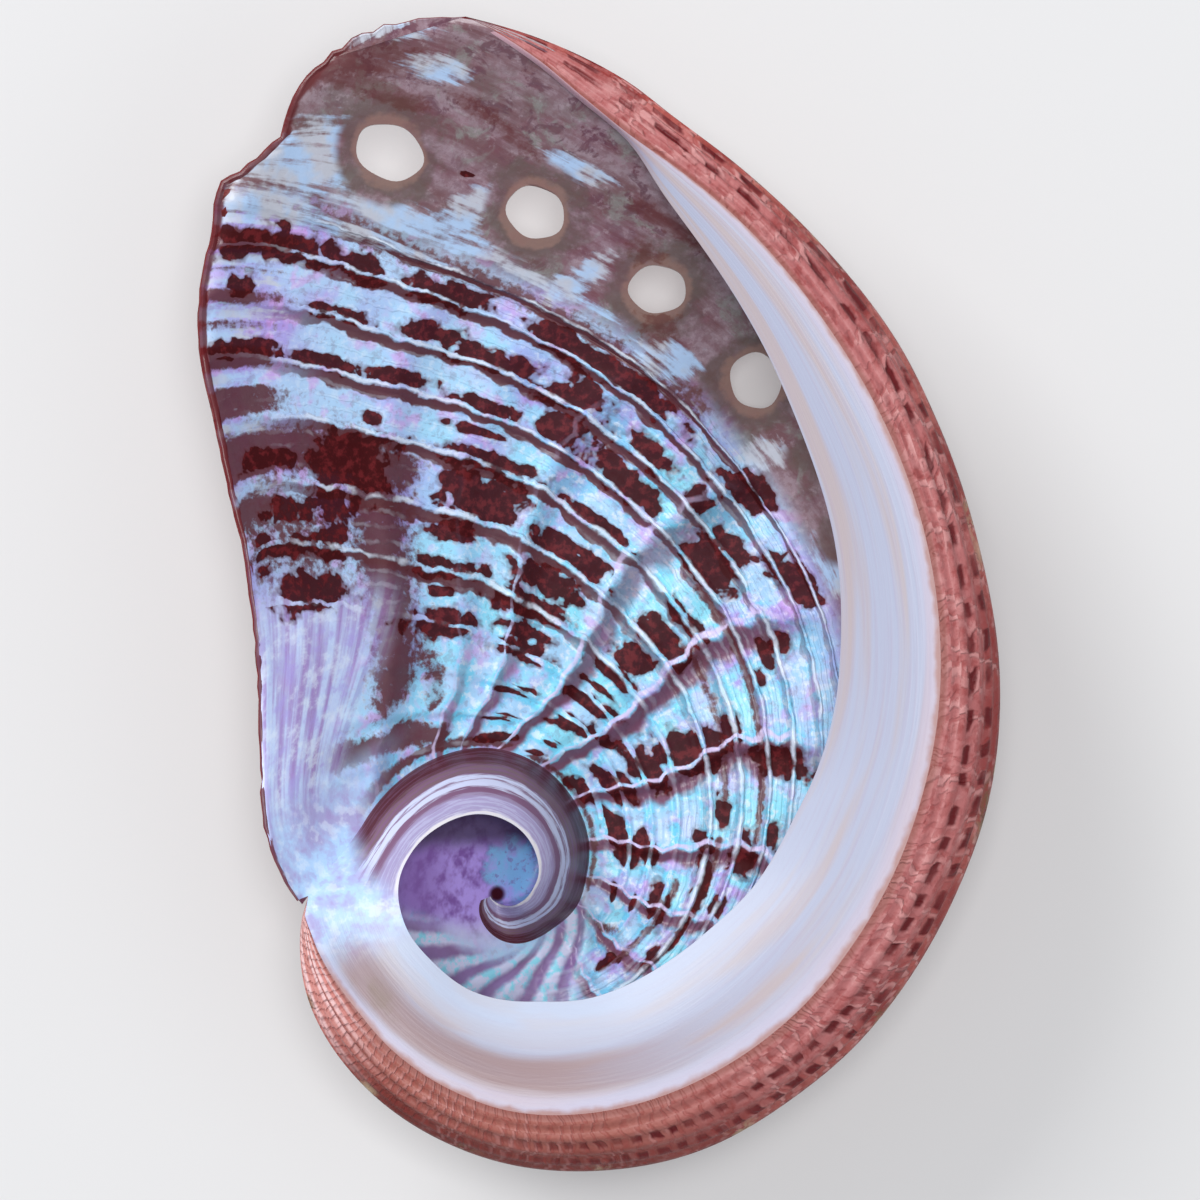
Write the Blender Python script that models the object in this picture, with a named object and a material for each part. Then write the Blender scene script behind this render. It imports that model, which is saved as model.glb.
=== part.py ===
"""Abalone shell, one solid, lying on its back with the aperture up.

Lengths are in millimetres and angles in degrees until the mesh is made.
The coil winds about the apex, which is at x = y = 0 while the surfaces are computed.
A coil angle runs on past a full turn: it falls toward the apex and grows toward the lip.
"""
import math

import bmesh
import bpy
import mathutils
import numpy

# The shell as a whole
shell_depth = 20.2
wall = 1.35
lip_wall = 0.55
notch_wall = 3.6
edge_wall = 0.5
edge_wall_share = 0.3
deepest_x = 13.4
deepest_y = 16.4
side_level = 5.4
edge_level = -0.7
shelf_dip = 1.5
ridge_sink = 0.5
mm = 0.001
weld = 0.002
tiny = 0.01

# How full the sections are: a greater power gives a flatter middle and a steeper side
open_power = 1.75
bulged_power = 2.3
lip_power = 0.4
foot_power = 8
ridge_power = 0.8

# Coil angles of the shell's landmarks
tip_angle = 92.0
notch_angle = -176.0
lip_turn = notch_angle + 360.0
coil_start = -518.0

# Coil angles between which one form passes into another, from none of it to all of it
bulge_from_tip = (104, 66)
bulge_from_notch = (-150, -112)
edge_from_tip = (92, 84)
edge_wall_from_tip = (92, 80)
dip_from_tip = (84, 10)
dip_from_notch = (-176, -70)
wall_from_tip = (92, 76)
wall_from_notch = (-176, -140)
inset_from_notch = (-176, -216)
seam_from_notch = (-176, -236)
foot_from_notch = (-176, -196)
crest_from_coil_start = (-455, -385)
sunk_from_notch = (-330, -430)

# Turns back from the lip over which the wall and its relief reach their full size
full_wall = (0, -14)
full_relief = (0, -12)
full_hole_rim = (0, -4)
chip_fade = 6.0

# Samples: growth lines in the arc from notch to tip, and points along each of them
lines_per_whorl = 40
line_turn = (tip_angle - notch_angle) / lines_per_whorl
floor_steps = 20
wall_steps = 4
shelf_steps = 4
lip_samples = 400
lip_samples_truth = 0.6
outline_step = 2

# Widest outline on the columellar side: coil angle and radius
bulge_points = [
    (-169, 13.9), (-151, 14.8), (-127, 15.9), (-105, 17.2), (-82, 19.1), (-69, 20.4),
    (-50, 22.8), (-35, 24.8), (-21.6, 27.2), (-11, 29.3), (-0.6, 31.7), (12, 35.1),
    (25, 38.5), (35, 41.1), (46.7, 44.8), (54, 47.4), (63, 50.3), (71, 53.0),
    (77, 55.2), (81, 57.1), (87, 59.3), (92, 60.8)]

# Growing edge from the tip, down the left margin and back to the notch
lip_points = [
    (92, 60.8), (96, 60.9), (99, 60.3), (102, 58.9), (104.5, 56.8), (106, 54.7), (109, 53.4),
    (111, 53.0), (112, 52.0), (113, 50.3), (115, 48.0), (117.5, 44.8), (119, 42.2), (121, 37.8),
    (124, 32.9), (126, 30.0), (129, 27.3), (133, 24.6), (139, 21.9), (150, 18.9), (158.5, 17.5),
    (166, 16.4), (173, 15.2), (179, 14.2), (184, 13.3)]

# The same edge without its chips and steps, which shapes the dish and the older growth lines
even_lip_points = [
    (92, 60.8), (98, 60.2), (104, 57.3), (109, 53.0), (113, 49.4), (117.5, 44.2), (121, 38.6),
    (126, 30.9), (133, 24.9), (139, 22.0), (150, 19.0), (158.5, 17.5), (166, 16.4), (173, 15.2),
    (184, 13.3)]

# Outer border of the shelf, then of the ridge that it becomes inside the spire
border_points = [
    (-518, 1.2), (-475, 2.3), (-431, 3.7), (-393, 4.6), (-368, 5.7), (-351, 6.3), (-330, 7.4),
    (-312, 8.3), (-294, 9.2), (-277, 9.9), (-261.5, 10.3), (-246.5, 10.4), (-208.5, 10.5),
    (-198, 10.9), (-188, 11.9), (-176, 13.3), (-168, 13.0), (-141, 12.4), (-124, 12.8),
    (-105, 13.6), (-88, 14.7), (-64, 16.5), (-40, 19.2), (-11, 24.2), (8, 28.8), (26.6, 34.4),
    (38, 38.1), (49, 41.8), (59, 45.3), (69.3, 49.3), (77, 52.2), (80, 53.4), (84, 55.7),
    (87, 57.8), (90, 59.7), (92, 60.8)]

# Free inner edge of the shelf and of the ridge
edge_points = [
    (-518, 0.5), (-475, 0.55), (-430, 0.8), (-390, 1.5), (-350, 2.6), (-335, 3.2), (-315, 3.9),
    (-284, 5.0), (-256, 5.8), (-231, 6.2), (-207, 6.6), (-188, 6.8), (-164, 6.6), (-135, 6.3),
    (-102, 6.8), (-71, 7.7), (-44, 9.9), (-25, 12.1), (-10, 14.7), (3.5, 18.2), (14, 21.1),
    (21.5, 23.9), (29, 26.8), (36, 29.5), (46, 33.8), (57, 38.6), (64.6, 42.6), (72.9, 47.4),
    (76.6, 49.9), (80, 52.9), (84, 55.3), (87, 57.4), (90, 59.4), (92, 60.8)]

# How far the hollow reaches out under the ridge's edge, inside the spire
hollow_reach_points = [
    (-400, 0.0), (-360, 0.9), (-330, 1.6), (-277, 1.7), (-246, 1.8), (-208, 2.5), (-176, 3.0)]

# Seam between the whorls on the outside
suture_points = [
    (-518, 1.0), (-475, 1.8), (-431, 3.2), (-393, 4.0), (-368, 4.6), (-330, 5.7), (-294, 6.9),
    (-261.5, 8.4), (-208.5, 11.2), (-190, 12.5), (-176, 13.3)]

# Open respiratory holes: x and y from the apex, half width, half height, turn, top of the cut
hole_points = [
    (-7.4, 51.5, 2.30, 1.80, -30, 3.0), (2.7, 47.4, 1.95, 1.75, -30, 3.0),
    (11.2, 42.1, 1.90, 1.65, 0, 3.0), (18.1, 35.8, 1.75, 1.90, 0, -4.0)]
hole_rim_width = 2.6
hole_rim_top = 0.2
hole_rim_height = 0.5
hole_sides = 22
hole_flare = 1.08
hole_cut_past = 2.0

# Relief of the dish and the dome: cords along the coil, folds along the growth lines
steps_per_cord = 2
lines_per_fold = 3
cord_height = 0.18
fold_height = 0.32
inside_relief = 0.6
full_relief_reach = 12.0
relief_from_start = (0.0, 0.2)
relief_from_end = (1.0, 0.86)
relief_from_side = (1.0, 0.9)
folds_from_end = (0.75, 0.45)
full_wall_share = 0.12

# Groove along the seam between the whorls
suture_depth = 0.55
suture_width = 3.0
suture_width_share = 0.4
full_suture_reach = 8.0


def smooth_curve(points, at):
    """Value at one place of a curve that passes smoothly through its points."""
    xs = [p[0] for p in points]
    ys = [p[1] for p in points]
    at = min(max(at, xs[0]), xs[-1])
    i = max(0, min(len(xs) - 2, int(numpy.searchsorted(xs, at)) - 1))

    def slope(k):
        if k == 0:
            return (ys[1] - ys[0]) / (xs[1] - xs[0])
        if k == len(xs) - 1:
            return (ys[-1] - ys[-2]) / (xs[-1] - xs[-2])
        before = (ys[k] - ys[k - 1]) / (xs[k] - xs[k - 1])
        after = (ys[k + 1] - ys[k]) / (xs[k + 1] - xs[k])
        if before * after <= 0:
            return 0.0
        return 2 * before * after / (before + after)

    width = xs[i + 1] - xs[i]
    t = (at - xs[i]) / width
    return ((2 * t ** 3 - 3 * t ** 2 + 1) * ys[i] + (t ** 3 - 2 * t ** 2 + t) * width * slope(i)
            + (3 * t ** 2 - 2 * t ** 3) * ys[i + 1] + (t ** 3 - t ** 2) * width * slope(i + 1))


def ramp(low, high, at):
    t = min(max((at - low) / (high - low), 0.0), 1.0)
    return t * t * (3 - 2 * t)


def blend(a, b, share):
    return a + (b - a) * share


def make_outline_about(x, y):
    """Radius of the even silhouette seen from a point inside it, as angles and radii."""
    found = []
    for angle in range(int(notch_angle), int(lip_turn), outline_step):
        points = bulge_points if angle < tip_angle else even_lip_points
        radius = smooth_curve(points, angle)
        dx = radius * math.cos(math.radians(angle)) - x
        dy = radius * math.sin(math.radians(angle)) - y
        found.append((math.atan2(dy, dx), math.hypot(dx, dy)))
    found.sort()
    return [f[0] for f in found], [f[1] for f in found]


outline_angles, outline_radii = make_outline_about(deepest_x, deepest_y)


def bulge_share(angle):
    """1 where the side wall bulges past the shelf, 0 along the open lip."""
    degrees = math.degrees(angle)
    return ramp(*bulge_from_tip, degrees) * ramp(*bulge_from_notch, degrees)


def dome(x, y, inset):
    """Height of the dished sheet; the inset is the wall between it and the outside."""
    dx, dy = x - deepest_x, y - deepest_y
    angle = math.atan2(dy, dx)
    radius = numpy.interp(angle, outline_angles, outline_radii, period=2 * math.pi) - inset
    share = min(math.hypot(dx, dy) / radius, 1.0)
    bulge = bulge_share(angle)
    level = side_level * bulge
    open_form = 1 - share ** open_power
    bulged_form = math.sqrt(max(1 - share ** bulged_power, 0.0))
    return -level - (shell_depth - inset - level) * blend(open_form, bulged_form, bulge)


def lip_radius(angle, truth):
    return blend(smooth_curve(even_lip_points, angle), smooth_curve(lip_points, angle), truth)


def make_lip_angles():
    """Angles along the growing edge, from the notch to the tip, at even lengths."""
    angles = numpy.linspace(lip_turn, tip_angle, lip_samples)
    radii = numpy.array([lip_radius(a, lip_samples_truth) for a in angles])
    xs = radii * numpy.cos(numpy.radians(angles))
    ys = radii * numpy.sin(numpy.radians(angles))
    lengths = numpy.concatenate([[0], numpy.cumsum(numpy.hypot(numpy.diff(xs), numpy.diff(ys)))])
    shares = numpy.linspace(0, 1, floor_steps + 1)
    return numpy.interp(shares * lengths[-1], lengths, angles)


lip_angles = make_lip_angles()


def growth_point(turn, step, start, end):
    """A point of a growth line that is turned back from the lip, between its two ends."""
    angle = lip_angles[step]
    truth = math.exp(turn / chip_fade)
    first = lip_radius(lip_turn, truth)
    last = lip_radius(tip_angle, truth)
    share = (lip_radius(angle, truth) - first) / (last - first)
    radius = start + (end - start) * share
    spot = math.radians(angle + turn)
    return radius * math.cos(spot), radius * math.sin(spot), share


def border_inset(angle):
    """Wall thickness where a whorl starts; the wall runs out at the notch."""
    return wall * ramp(*inset_from_notch, angle)


def at_angle(angle, radius):
    return radius * math.cos(math.radians(angle)), radius * math.sin(math.radians(angle))


def crest_height(angle):
    """Height of the ridge's top, which sinks into the spire."""
    apex = dome(0, 0, wall)
    return apex + (edge_level - apex) * math.exp(ridge_sink * math.radians(angle - notch_angle))


def border_height(angle):
    """Height where the ridge meets the dish, or of the shelf's outer border."""
    if angle > notch_angle:
        return 0.0
    x, y = at_angle(angle, smooth_curve(border_points, angle))
    return dome(x, y, border_inset(angle))


def floor_under_edge(angle):
    x, y = at_angle(angle, smooth_curve(edge_points, angle))
    return dome(x, y, wall)


def edge_height(angle):
    """Height of the free inner edge of the shelf, or of the ridge."""
    if angle > notch_angle:
        dip = shelf_dip * ramp(*dip_from_notch, angle) * ramp(*dip_from_tip, angle)
        return edge_level * ramp(*edge_from_tip, angle) - dip
    low = floor_under_edge(angle)
    return low + (crest_height(angle) - low) * ramp(*crest_from_coil_start, angle)


def wall_here(angle):
    """Side wall, thicker by the notch, where it closes the hollow, and running out at the tip."""
    full = blend(notch_wall, wall, ramp(*wall_from_notch, angle))
    return full * ramp(*wall_from_tip, angle)


def relief(turn, step, share, reach):
    """Cords along the coil and folds along the growth lines, of the dish and the dome."""
    fade = ramp(*relief_from_start, share) * ramp(*relief_from_end, share)
    fade *= ramp(*full_relief, turn) * min(reach / full_relief_reach, 1.0)
    cord = math.cos(2 * math.pi * step / steps_per_cord)
    fold = math.cos(2 * math.pi * turn / (line_turn * lines_per_fold))
    return fade * (cord_height * cord + fold_height * fold * ramp(*folds_from_end, share))


def hole_rim(x, y):
    """Raised rim round each hole on the outside."""
    height = 0.0
    for hole in hole_points:
        hole_x, hole_y, half_x, half_y = hole[:4]
        gap = math.hypot(x - hole_x, y - hole_y) - (half_x + half_y) / 2
        height = max(height, hole_rim_height * ramp(hole_rim_width, hole_rim_top, gap))
    return height


def suture_groove(angle, radius):
    return suture_depth * ramp(*seam_from_notch, angle) * min(radius / full_suture_reach, 1.0)


def inner_floor(turn, start_angle, end_angle, end):
    """Points of the dish from the older whorl to the foot of its side wall."""
    start = smooth_curve(border_points, start_angle) if start_angle > coil_start else 0.0
    points = []
    for step in range(floor_steps + 1):
        x, y, share = growth_point(turn, step, start, end)
        reach = math.hypot(x, y)
        if turn == 0:
            rim = lip_wall * math.sin(math.pi * step / floor_steps) ** lip_power
            x *= 1 - rim / reach
            y *= 1 - rim / reach
            points.append((x, y, dome(x, y, rim)))
            continue
        depth = blend(lip_wall, wall, ramp(*full_wall, turn))
        depth = blend(border_inset(start_angle), depth, ramp(0.0, full_wall_share, share))
        swell = inside_relief * relief(turn, step, share, reach)
        points.append((x, y, dome(x, y, depth) + swell))
    x, y, z = points[-1]
    if end_angle > notch_angle:
        level = -side_level * bulge_share(math.atan2(y - deepest_y, x - deepest_x))
        points[-1] = (x, y, blend(z, level, ramp(*wall_from_notch, end_angle)))
        return points
    middle = (z + edge_height(end_angle)) / 2
    lift = ramp(*foot_from_notch, end_angle)
    for step in range(floor_steps // 2, floor_steps + 1):
        x, y, z = points[step]
        share = min(math.hypot(x, y) / max(end, tiny), 1.0)
        rise = 1 - math.sqrt(1 - share ** foot_power)
        points[step] = (x, y, z + (middle - z) * rise * lift)
    return points


def inner_line(turn):
    """Points of the inside on one growth line: floor, under the shelf, edge and shelf top."""
    start_angle = lip_turn + turn - 360
    end_angle = tip_angle + turn
    if end_angle < coil_start:
        return [(0, 0, dome(0, 0, wall))] * (floor_steps + wall_steps + shelf_steps + 2)
    edge = smooth_curve(edge_points, end_angle)
    if end_angle > notch_angle:
        end = smooth_curve(bulge_points, end_angle) - wall_here(end_angle)
    else:
        end = edge + smooth_curve(hollow_reach_points, end_angle)
    points = inner_floor(turn, start_angle, end_angle, end)
    if turn == 0:
        points[-1] = tip_point()
        return points + [points[-1]] * (wall_steps + shelf_steps + 1)
    widest = points[-1][2]
    border = smooth_curve(border_points, end_angle)
    top = edge_height(end_angle)
    rise = top - floor_under_edge(end_angle)
    thin = min(edge_wall * ramp(*edge_wall_from_tip, end_angle), edge_wall_share * max(rise, 0.0))
    for step in range(1, wall_steps + 1):
        lean = 0.5 * math.pi * step / wall_steps
        x, y = at_angle(end_angle, edge + (end - edge) * math.cos(lean))
        points.append((x, y, widest + (top - thin - widest) * math.sin(lean)))
    level = border_height(end_angle)
    sunk = ramp(*sunk_from_notch, end_angle)
    for step in range(shelf_steps + 1):
        share = step / shelf_steps
        x, y = at_angle(end_angle, blend(edge, border, share))
        if end_angle > notch_angle:
            z = blend(top, level, math.sin(0.5 * math.pi * share))
        else:
            ridge = math.cos(0.5 * math.pi * share) ** ridge_power if step < shelf_steps else 0.0
            over_floor = dome(x, y, border_inset(end_angle)) + rise * ridge
            z = blend(blend(level, top, ridge), over_floor, sunk)
        points.append((x, y, z))
    return points


def outer_line(turn):
    """Points of the outside on the same growth line: dome, side wall and shelf border."""
    start_angle = lip_turn + turn - 360
    end_angle = tip_angle + turn
    if end_angle < coil_start:
        return [(0, 0, dome(0, 0, 0))] * (floor_steps + wall_steps + 1)
    over = end_angle > notch_angle
    start = smooth_curve(suture_points, start_angle) if start_angle > coil_start else 0.0
    end = smooth_curve(bulge_points if over else suture_points, end_angle)
    groove_width = max(min(suture_width, suture_width_share * (end - start)), tiny)
    points = []
    for step in range(floor_steps + 1):
        x, y, share = growth_point(turn, step, start, end)
        reach = math.hypot(x, y)
        swell = relief(turn, step, share, reach) + hole_rim(x, y) * ramp(*full_hole_rim, turn)
        groove = suture_groove(start_angle, start) * ramp(groove_width, 0.0, reach - start)
        if over:
            swell *= ramp(*relief_from_side, reach / end)
        else:
            groove += suture_groove(end_angle, end) * ramp(groove_width, 0.0, end - reach)
        points.append((x, y, dome(x, y, 0) - swell + groove))
    if turn == 0:
        points[-1] = tip_point()
    if turn == 0 or not over:
        return points + [points[-1]] * wall_steps
    x, y, z = points[-1]
    level = -side_level * bulge_share(math.atan2(y - deepest_y, x - deepest_x))
    points[-1] = (x, y, level)
    border = smooth_curve(border_points, end_angle)
    for step in range(1, wall_steps + 1):
        lean = 0.5 * math.pi * step / wall_steps
        x, y = at_angle(end_angle, border + (end - border) * math.cos(lean))
        points.append((x, y, level * (1 - math.sin(lean))))
    return points


def tip_point():
    x, y = at_angle(tip_angle, smooth_curve(bulge_points, tip_angle))
    return x, y, 0.0


def make_material():
    material = bpy.data.materials.new("shell_outside_red")
    material.use_nodes = True
    shader = material.node_tree.nodes["Principled BSDF"]
    shader.inputs["Base Color"].default_value = (0.50, 0.13, 0.10, 1.0)
    shader.inputs["Roughness"].default_value = 0.45
    shader.inputs["Metallic"].default_value = 0.0
    return material


def add_strip(mesh, lines, flip):
    """Faces between neighbouring growth lines; flip turns them over."""
    rows = [[mesh.verts.new([c * mm for c in point]) for point in line] for line in lines]
    for row, older in zip(rows, rows[1:]):
        for k in range(len(row) - 1):
            corners = [row[k], row[k + 1], older[k + 1], older[k]]
            mesh.faces.new(corners[::-1] if flip else corners)
    return rows


def make_shell(collection):
    """The grown sheet: an inside and an outside that meet at the growing edge."""
    line_count = int((tip_angle - coil_start) / line_turn) + 2
    turns = [-line_turn * k for k in range(line_count)]
    mesh = bmesh.new()
    inner = add_strip(mesh, [inner_line(t) for t in turns], True)
    outer = add_strip(mesh, [outer_line(t) for t in turns], False)
    for k in range(floor_steps):
        mesh.faces.new([inner[0][k], inner[0][k + 1], outer[0][k + 1], outer[0][k]])
    bmesh.ops.remove_doubles(mesh, verts=mesh.verts, dist=weld * mm)
    bmesh.ops.dissolve_degenerate(mesh, edges=mesh.edges, dist=weld * mm)
    bmesh.ops.recalc_face_normals(mesh, faces=mesh.faces)
    data = bpy.data.meshes.new("shell")
    mesh.to_mesh(data)
    mesh.free()
    for face in data.polygons:
        face.use_smooth = True
    shell = bpy.data.objects.new("shell", data)
    collection.objects.link(shell)
    return shell


def make_cutter(number, hole, collection):
    """An upright, slightly flared pin through the wall for one respiratory hole."""
    x, y, half_x, half_y, turn, top = hole
    mesh = bmesh.new()
    bmesh.ops.create_cone(
        mesh, cap_ends=True, segments=hole_sides, radius1=hole_flare, radius2=1.0, depth=1.0)
    bmesh.ops.translate(mesh, verts=mesh.verts, vec=(0, 0, 0.5))
    bottom = -shell_depth - hole_cut_past
    bmesh.ops.scale(mesh, verts=mesh.verts, vec=(half_x * mm, half_y * mm, (top - bottom) * mm))
    swing = mathutils.Matrix.Rotation(math.radians(turn), 3, "Z")
    bmesh.ops.rotate(mesh, verts=mesh.verts, matrix=swing)
    bmesh.ops.translate(mesh, verts=mesh.verts, vec=(x * mm, y * mm, bottom * mm))
    data = bpy.data.meshes.new(f"hole_{number}")
    mesh.to_mesh(data)
    mesh.free()
    cutter = bpy.data.objects.new(f"hole_{number}", data)
    cutter.hide_render = True
    cutter.display_type = "WIRE"
    collection.objects.link(cutter)
    return cutter


def cut_holes(shell, collection):
    cutters = [make_cutter(number, hole, collection) for number, hole in enumerate(hole_points)]
    for cutter in cutters:
        cut = shell.modifiers.new(cutter.name, "BOOLEAN")
        cut.operation = "DIFFERENCE"
        cut.solver = "EXACT"
        cut.object = cutter
    return cutters


def set_down(things, shell):
    """Moves everything so that the shell's box has its bottom centre at the origin."""
    spots = numpy.array([v.co for v in shell.data.vertices])
    low, high = spots.min(axis=0), spots.max(axis=0)
    shift = mathutils.Vector((-(low[0] + high[0]) / 2, -(low[1] + high[1]) / 2, -low[2]))
    for thing in things:
        thing.data.transform(mathutils.Matrix.Translation(shift))


def make_collection(name):
    collection = bpy.data.collections.new(name)
    bpy.context.scene.collection.children.link(collection)
    return collection


def remove_all():
    for thing in list(bpy.data.objects):
        bpy.data.objects.remove(thing, do_unlink=True)


remove_all()
cutters = make_collection("cutters")
cutters.hide_render = True
shell = make_shell(make_collection("abalone_shell"))
shell.data.materials.append(make_material())
set_down([shell] + cut_holes(shell, cutters), shell)
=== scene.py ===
import math
import bmesh
import bpy
import numpy as np
from mathutils import Matrix, Vector


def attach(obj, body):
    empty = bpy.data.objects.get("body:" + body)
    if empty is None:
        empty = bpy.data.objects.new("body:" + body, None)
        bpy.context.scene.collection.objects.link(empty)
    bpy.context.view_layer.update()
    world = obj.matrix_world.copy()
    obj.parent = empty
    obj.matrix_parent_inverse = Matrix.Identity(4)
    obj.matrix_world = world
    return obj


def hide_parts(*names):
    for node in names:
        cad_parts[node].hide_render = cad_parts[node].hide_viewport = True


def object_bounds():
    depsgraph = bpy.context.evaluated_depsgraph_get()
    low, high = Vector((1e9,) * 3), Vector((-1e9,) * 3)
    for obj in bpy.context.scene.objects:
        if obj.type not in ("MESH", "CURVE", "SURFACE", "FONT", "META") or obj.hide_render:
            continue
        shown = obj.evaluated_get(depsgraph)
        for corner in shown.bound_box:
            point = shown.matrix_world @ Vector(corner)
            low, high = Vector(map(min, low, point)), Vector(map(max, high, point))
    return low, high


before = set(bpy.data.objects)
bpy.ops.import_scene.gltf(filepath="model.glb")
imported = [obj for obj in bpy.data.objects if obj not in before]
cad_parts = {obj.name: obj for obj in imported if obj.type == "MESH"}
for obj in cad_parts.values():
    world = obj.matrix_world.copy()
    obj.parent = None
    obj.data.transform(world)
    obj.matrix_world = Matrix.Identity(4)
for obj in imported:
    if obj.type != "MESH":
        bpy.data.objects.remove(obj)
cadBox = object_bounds()
print("stage: frame loaded")

mm = 0.001

# the shell's own measures, in millimetres and degrees; the coil winds about x = y = 0
shell = {
    "depth": 20.2, "wall": 1.35, "lipWall": 0.55, "deepest": (13.4, 16.4), "sideLevel": 5.4,
    "notchWall": 3.6, "edgeWall": 0.5, "shelfDip": 1.5, "ridgeSink": 0.5,
    "ridgeEase": 8.0, "lumpEvery": 18.2,
    "tip": 92.0, "tipRadius": 60.8, "notch": -176.0, "coilStart": -518.0, "suture": 0.55}
# widest outline on the columellar side: coil angle and radius
bulge = [
    (-176, 13.35), (-169, 13.8), (-151, 14.8), (-127, 15.9), (-105, 17.2), (-82, 19.1), (-69, 20.4),
    (-50, 22.8), (-35, 24.8), (-21.6, 27.2), (-11, 29.3), (-0.6, 31.7), (12, 35.1),
    (25, 38.5), (35, 41.1), (46.7, 44.8), (54, 47.4), (63, 50.3), (71, 53.0),
    (77, 55.2), (81, 57.1), (87, 59.3), (92, 60.8)]
# growing edge from the tip down the left margin to the notch, as it is and without its chips
lip = [
    (92, 60.8), (96, 60.9), (99, 60.3), (102, 58.9), (104.5, 56.8), (106, 54.7), (109, 53.4),
    (111, 53.0), (112, 52.0), (113, 50.3), (115, 48.0), (117.5, 44.8), (119, 42.2), (121, 37.8),
    (124, 32.9), (126, 30.0), (129, 27.3), (133, 24.6), (139, 21.9), (150, 18.9), (158.5, 17.5),
    (166, 16.4), (173, 15.2), (179, 14.2), (184, 13.3)]
evenLip = [
    (92, 60.8), (98, 60.2), (104, 57.3), (109, 53.0), (113, 49.4), (117.5, 44.2), (121, 38.6),
    (126, 30.9), (133, 24.9), (139, 22.0), (150, 19.0), (158.5, 17.5), (166, 16.4), (173, 15.2),
    (184, 13.3)]
# outer border of the shelf, and of the ridge that it becomes in the spire
border = [
    (-518, 1.2), (-475, 2.3), (-431, 3.7), (-393, 4.6), (-368, 5.7), (-351, 6.3), (-330, 7.4),
    (-312, 8.3), (-294, 9.2), (-277, 9.9), (-261.5, 10.3), (-246.5, 10.4), (-208.5, 10.5),
    (-198, 10.9), (-188, 11.9), (-176, 13.3), (-168, 13.0), (-141, 12.4), (-124, 12.8),
    (-105, 13.6), (-88, 14.7), (-64, 16.5), (-40, 19.2), (-11, 24.2), (8, 28.8), (26.6, 34.4),
    (38, 38.1), (49, 41.8), (59, 45.3), (69.3, 49.3), (77, 52.2), (80, 53.4), (84, 55.7),
    (87, 57.8), (90, 59.7), (92, 60.8)]
# free inner edge of the shelf and of the ridge
edge = [
    (-518, 0.5), (-475, 0.55), (-430, 0.8), (-390, 1.5), (-350, 2.6), (-335, 3.2), (-315, 3.9),
    (-284, 5.0), (-256, 5.8), (-231, 6.2), (-207, 6.6), (-188, 6.8), (-164, 6.6), (-135, 6.3),
    (-102, 6.8), (-71, 7.7), (-44, 9.9), (-25, 12.1), (-10, 14.7), (3.5, 18.2), (14, 21.1),
    (21.5, 23.9), (29, 26.8), (36, 29.5), (46, 33.8), (57, 38.6), (64.6, 42.6), (72.9, 47.4),
    (76.6, 49.9), (80, 52.9), (84, 55.3), (87, 57.4), (90, 59.4), (92, 60.8)]
# reach of the hollow under the ridge, and the seam of the whorls on the outside
hollowReach = [
    (-400, 0.0), (-360, 0.9), (-330, 1.6), (-277, 1.7), (-246, 1.8), (-208, 2.5), (-176, 3.0)]
seam = [
    (-518, 1.0), (-475, 1.8), (-431, 3.2), (-393, 4.0), (-368, 4.6), (-330, 5.7), (-294, 6.9),
    (-261.5, 8.4), (-208.5, 11.2), (-190, 12.5), (-176, 13.3)]
# open holes: x, y, half width, half height, turn, top of the cut
holes = [
    (-7.4, 51.5, 2.30, 1.80, -30, 3.0), (2.7, 47.4, 1.95, 1.75, -30, 3.0),
    (11.2, 42.1, 1.90, 1.65, 0, 3.0), (18.1, 35.8, 1.75, 1.90, 0, -4.0)]


def smoothCurve(points, at):
    # passes smoothly through the points, and holds its end values outside them
    xs = np.array([p[0] for p in points], float)
    ys = np.array([p[1] for p in points], float)
    steps = np.diff(ys) / np.diff(xs)
    slopes = np.zeros(len(xs))
    slopes[0], slopes[-1] = steps[0], steps[-1]
    before, after = steps[:-1], steps[1:]
    same = before * after > 0
    slopes[1:-1][same] = 2 * (before * after)[same] / (before + after)[same]
    at = np.clip(np.asarray(at, float), xs[0], xs[-1])
    i = np.clip(np.searchsorted(xs, at) - 1, 0, len(xs) - 2)
    width = xs[i + 1] - xs[i]
    t = (at - xs[i]) / width
    return ((2 * t ** 3 - 3 * t ** 2 + 1) * ys[i] + (t ** 3 - 2 * t ** 2 + t) * width * slopes[i]
            + (3 * t ** 2 - 2 * t ** 3) * ys[i + 1] + (t ** 3 - t ** 2) * width * slopes[i + 1])


def ramp(low, high, at):
    t = np.clip((at - low) / (high - low), 0.0, 1.0)
    return t * t * (3 - 2 * t)


def blend(a, b, share):
    return a + (b - a) * share


def bump(at, centre, width):
    return np.exp(-((at - centre) / width) ** 2)


def outlineAbout(x, y):
    angles = np.arange(-176, 184, 2)
    radii = np.where(angles < shell["tip"], smoothCurve(bulge, angles), smoothCurve(evenLip, angles))
    dx = radii * np.cos(np.radians(angles)) - x
    dy = radii * np.sin(np.radians(angles)) - y
    around = np.arctan2(dy, dx)
    order = np.argsort(around)
    return around[order], np.hypot(dx, dy)[order]


outlineAngles, outlineRadii = outlineAbout(*shell["deepest"])


def bulgeShare(x, y):
    # 1 where the side wall bulges past the shelf, 0 along the open lip
    degrees = np.degrees(np.arctan2(y - shell["deepest"][1], x - shell["deepest"][0]))
    return ramp(104, 66, degrees) * ramp(-150, -112, degrees)


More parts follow.
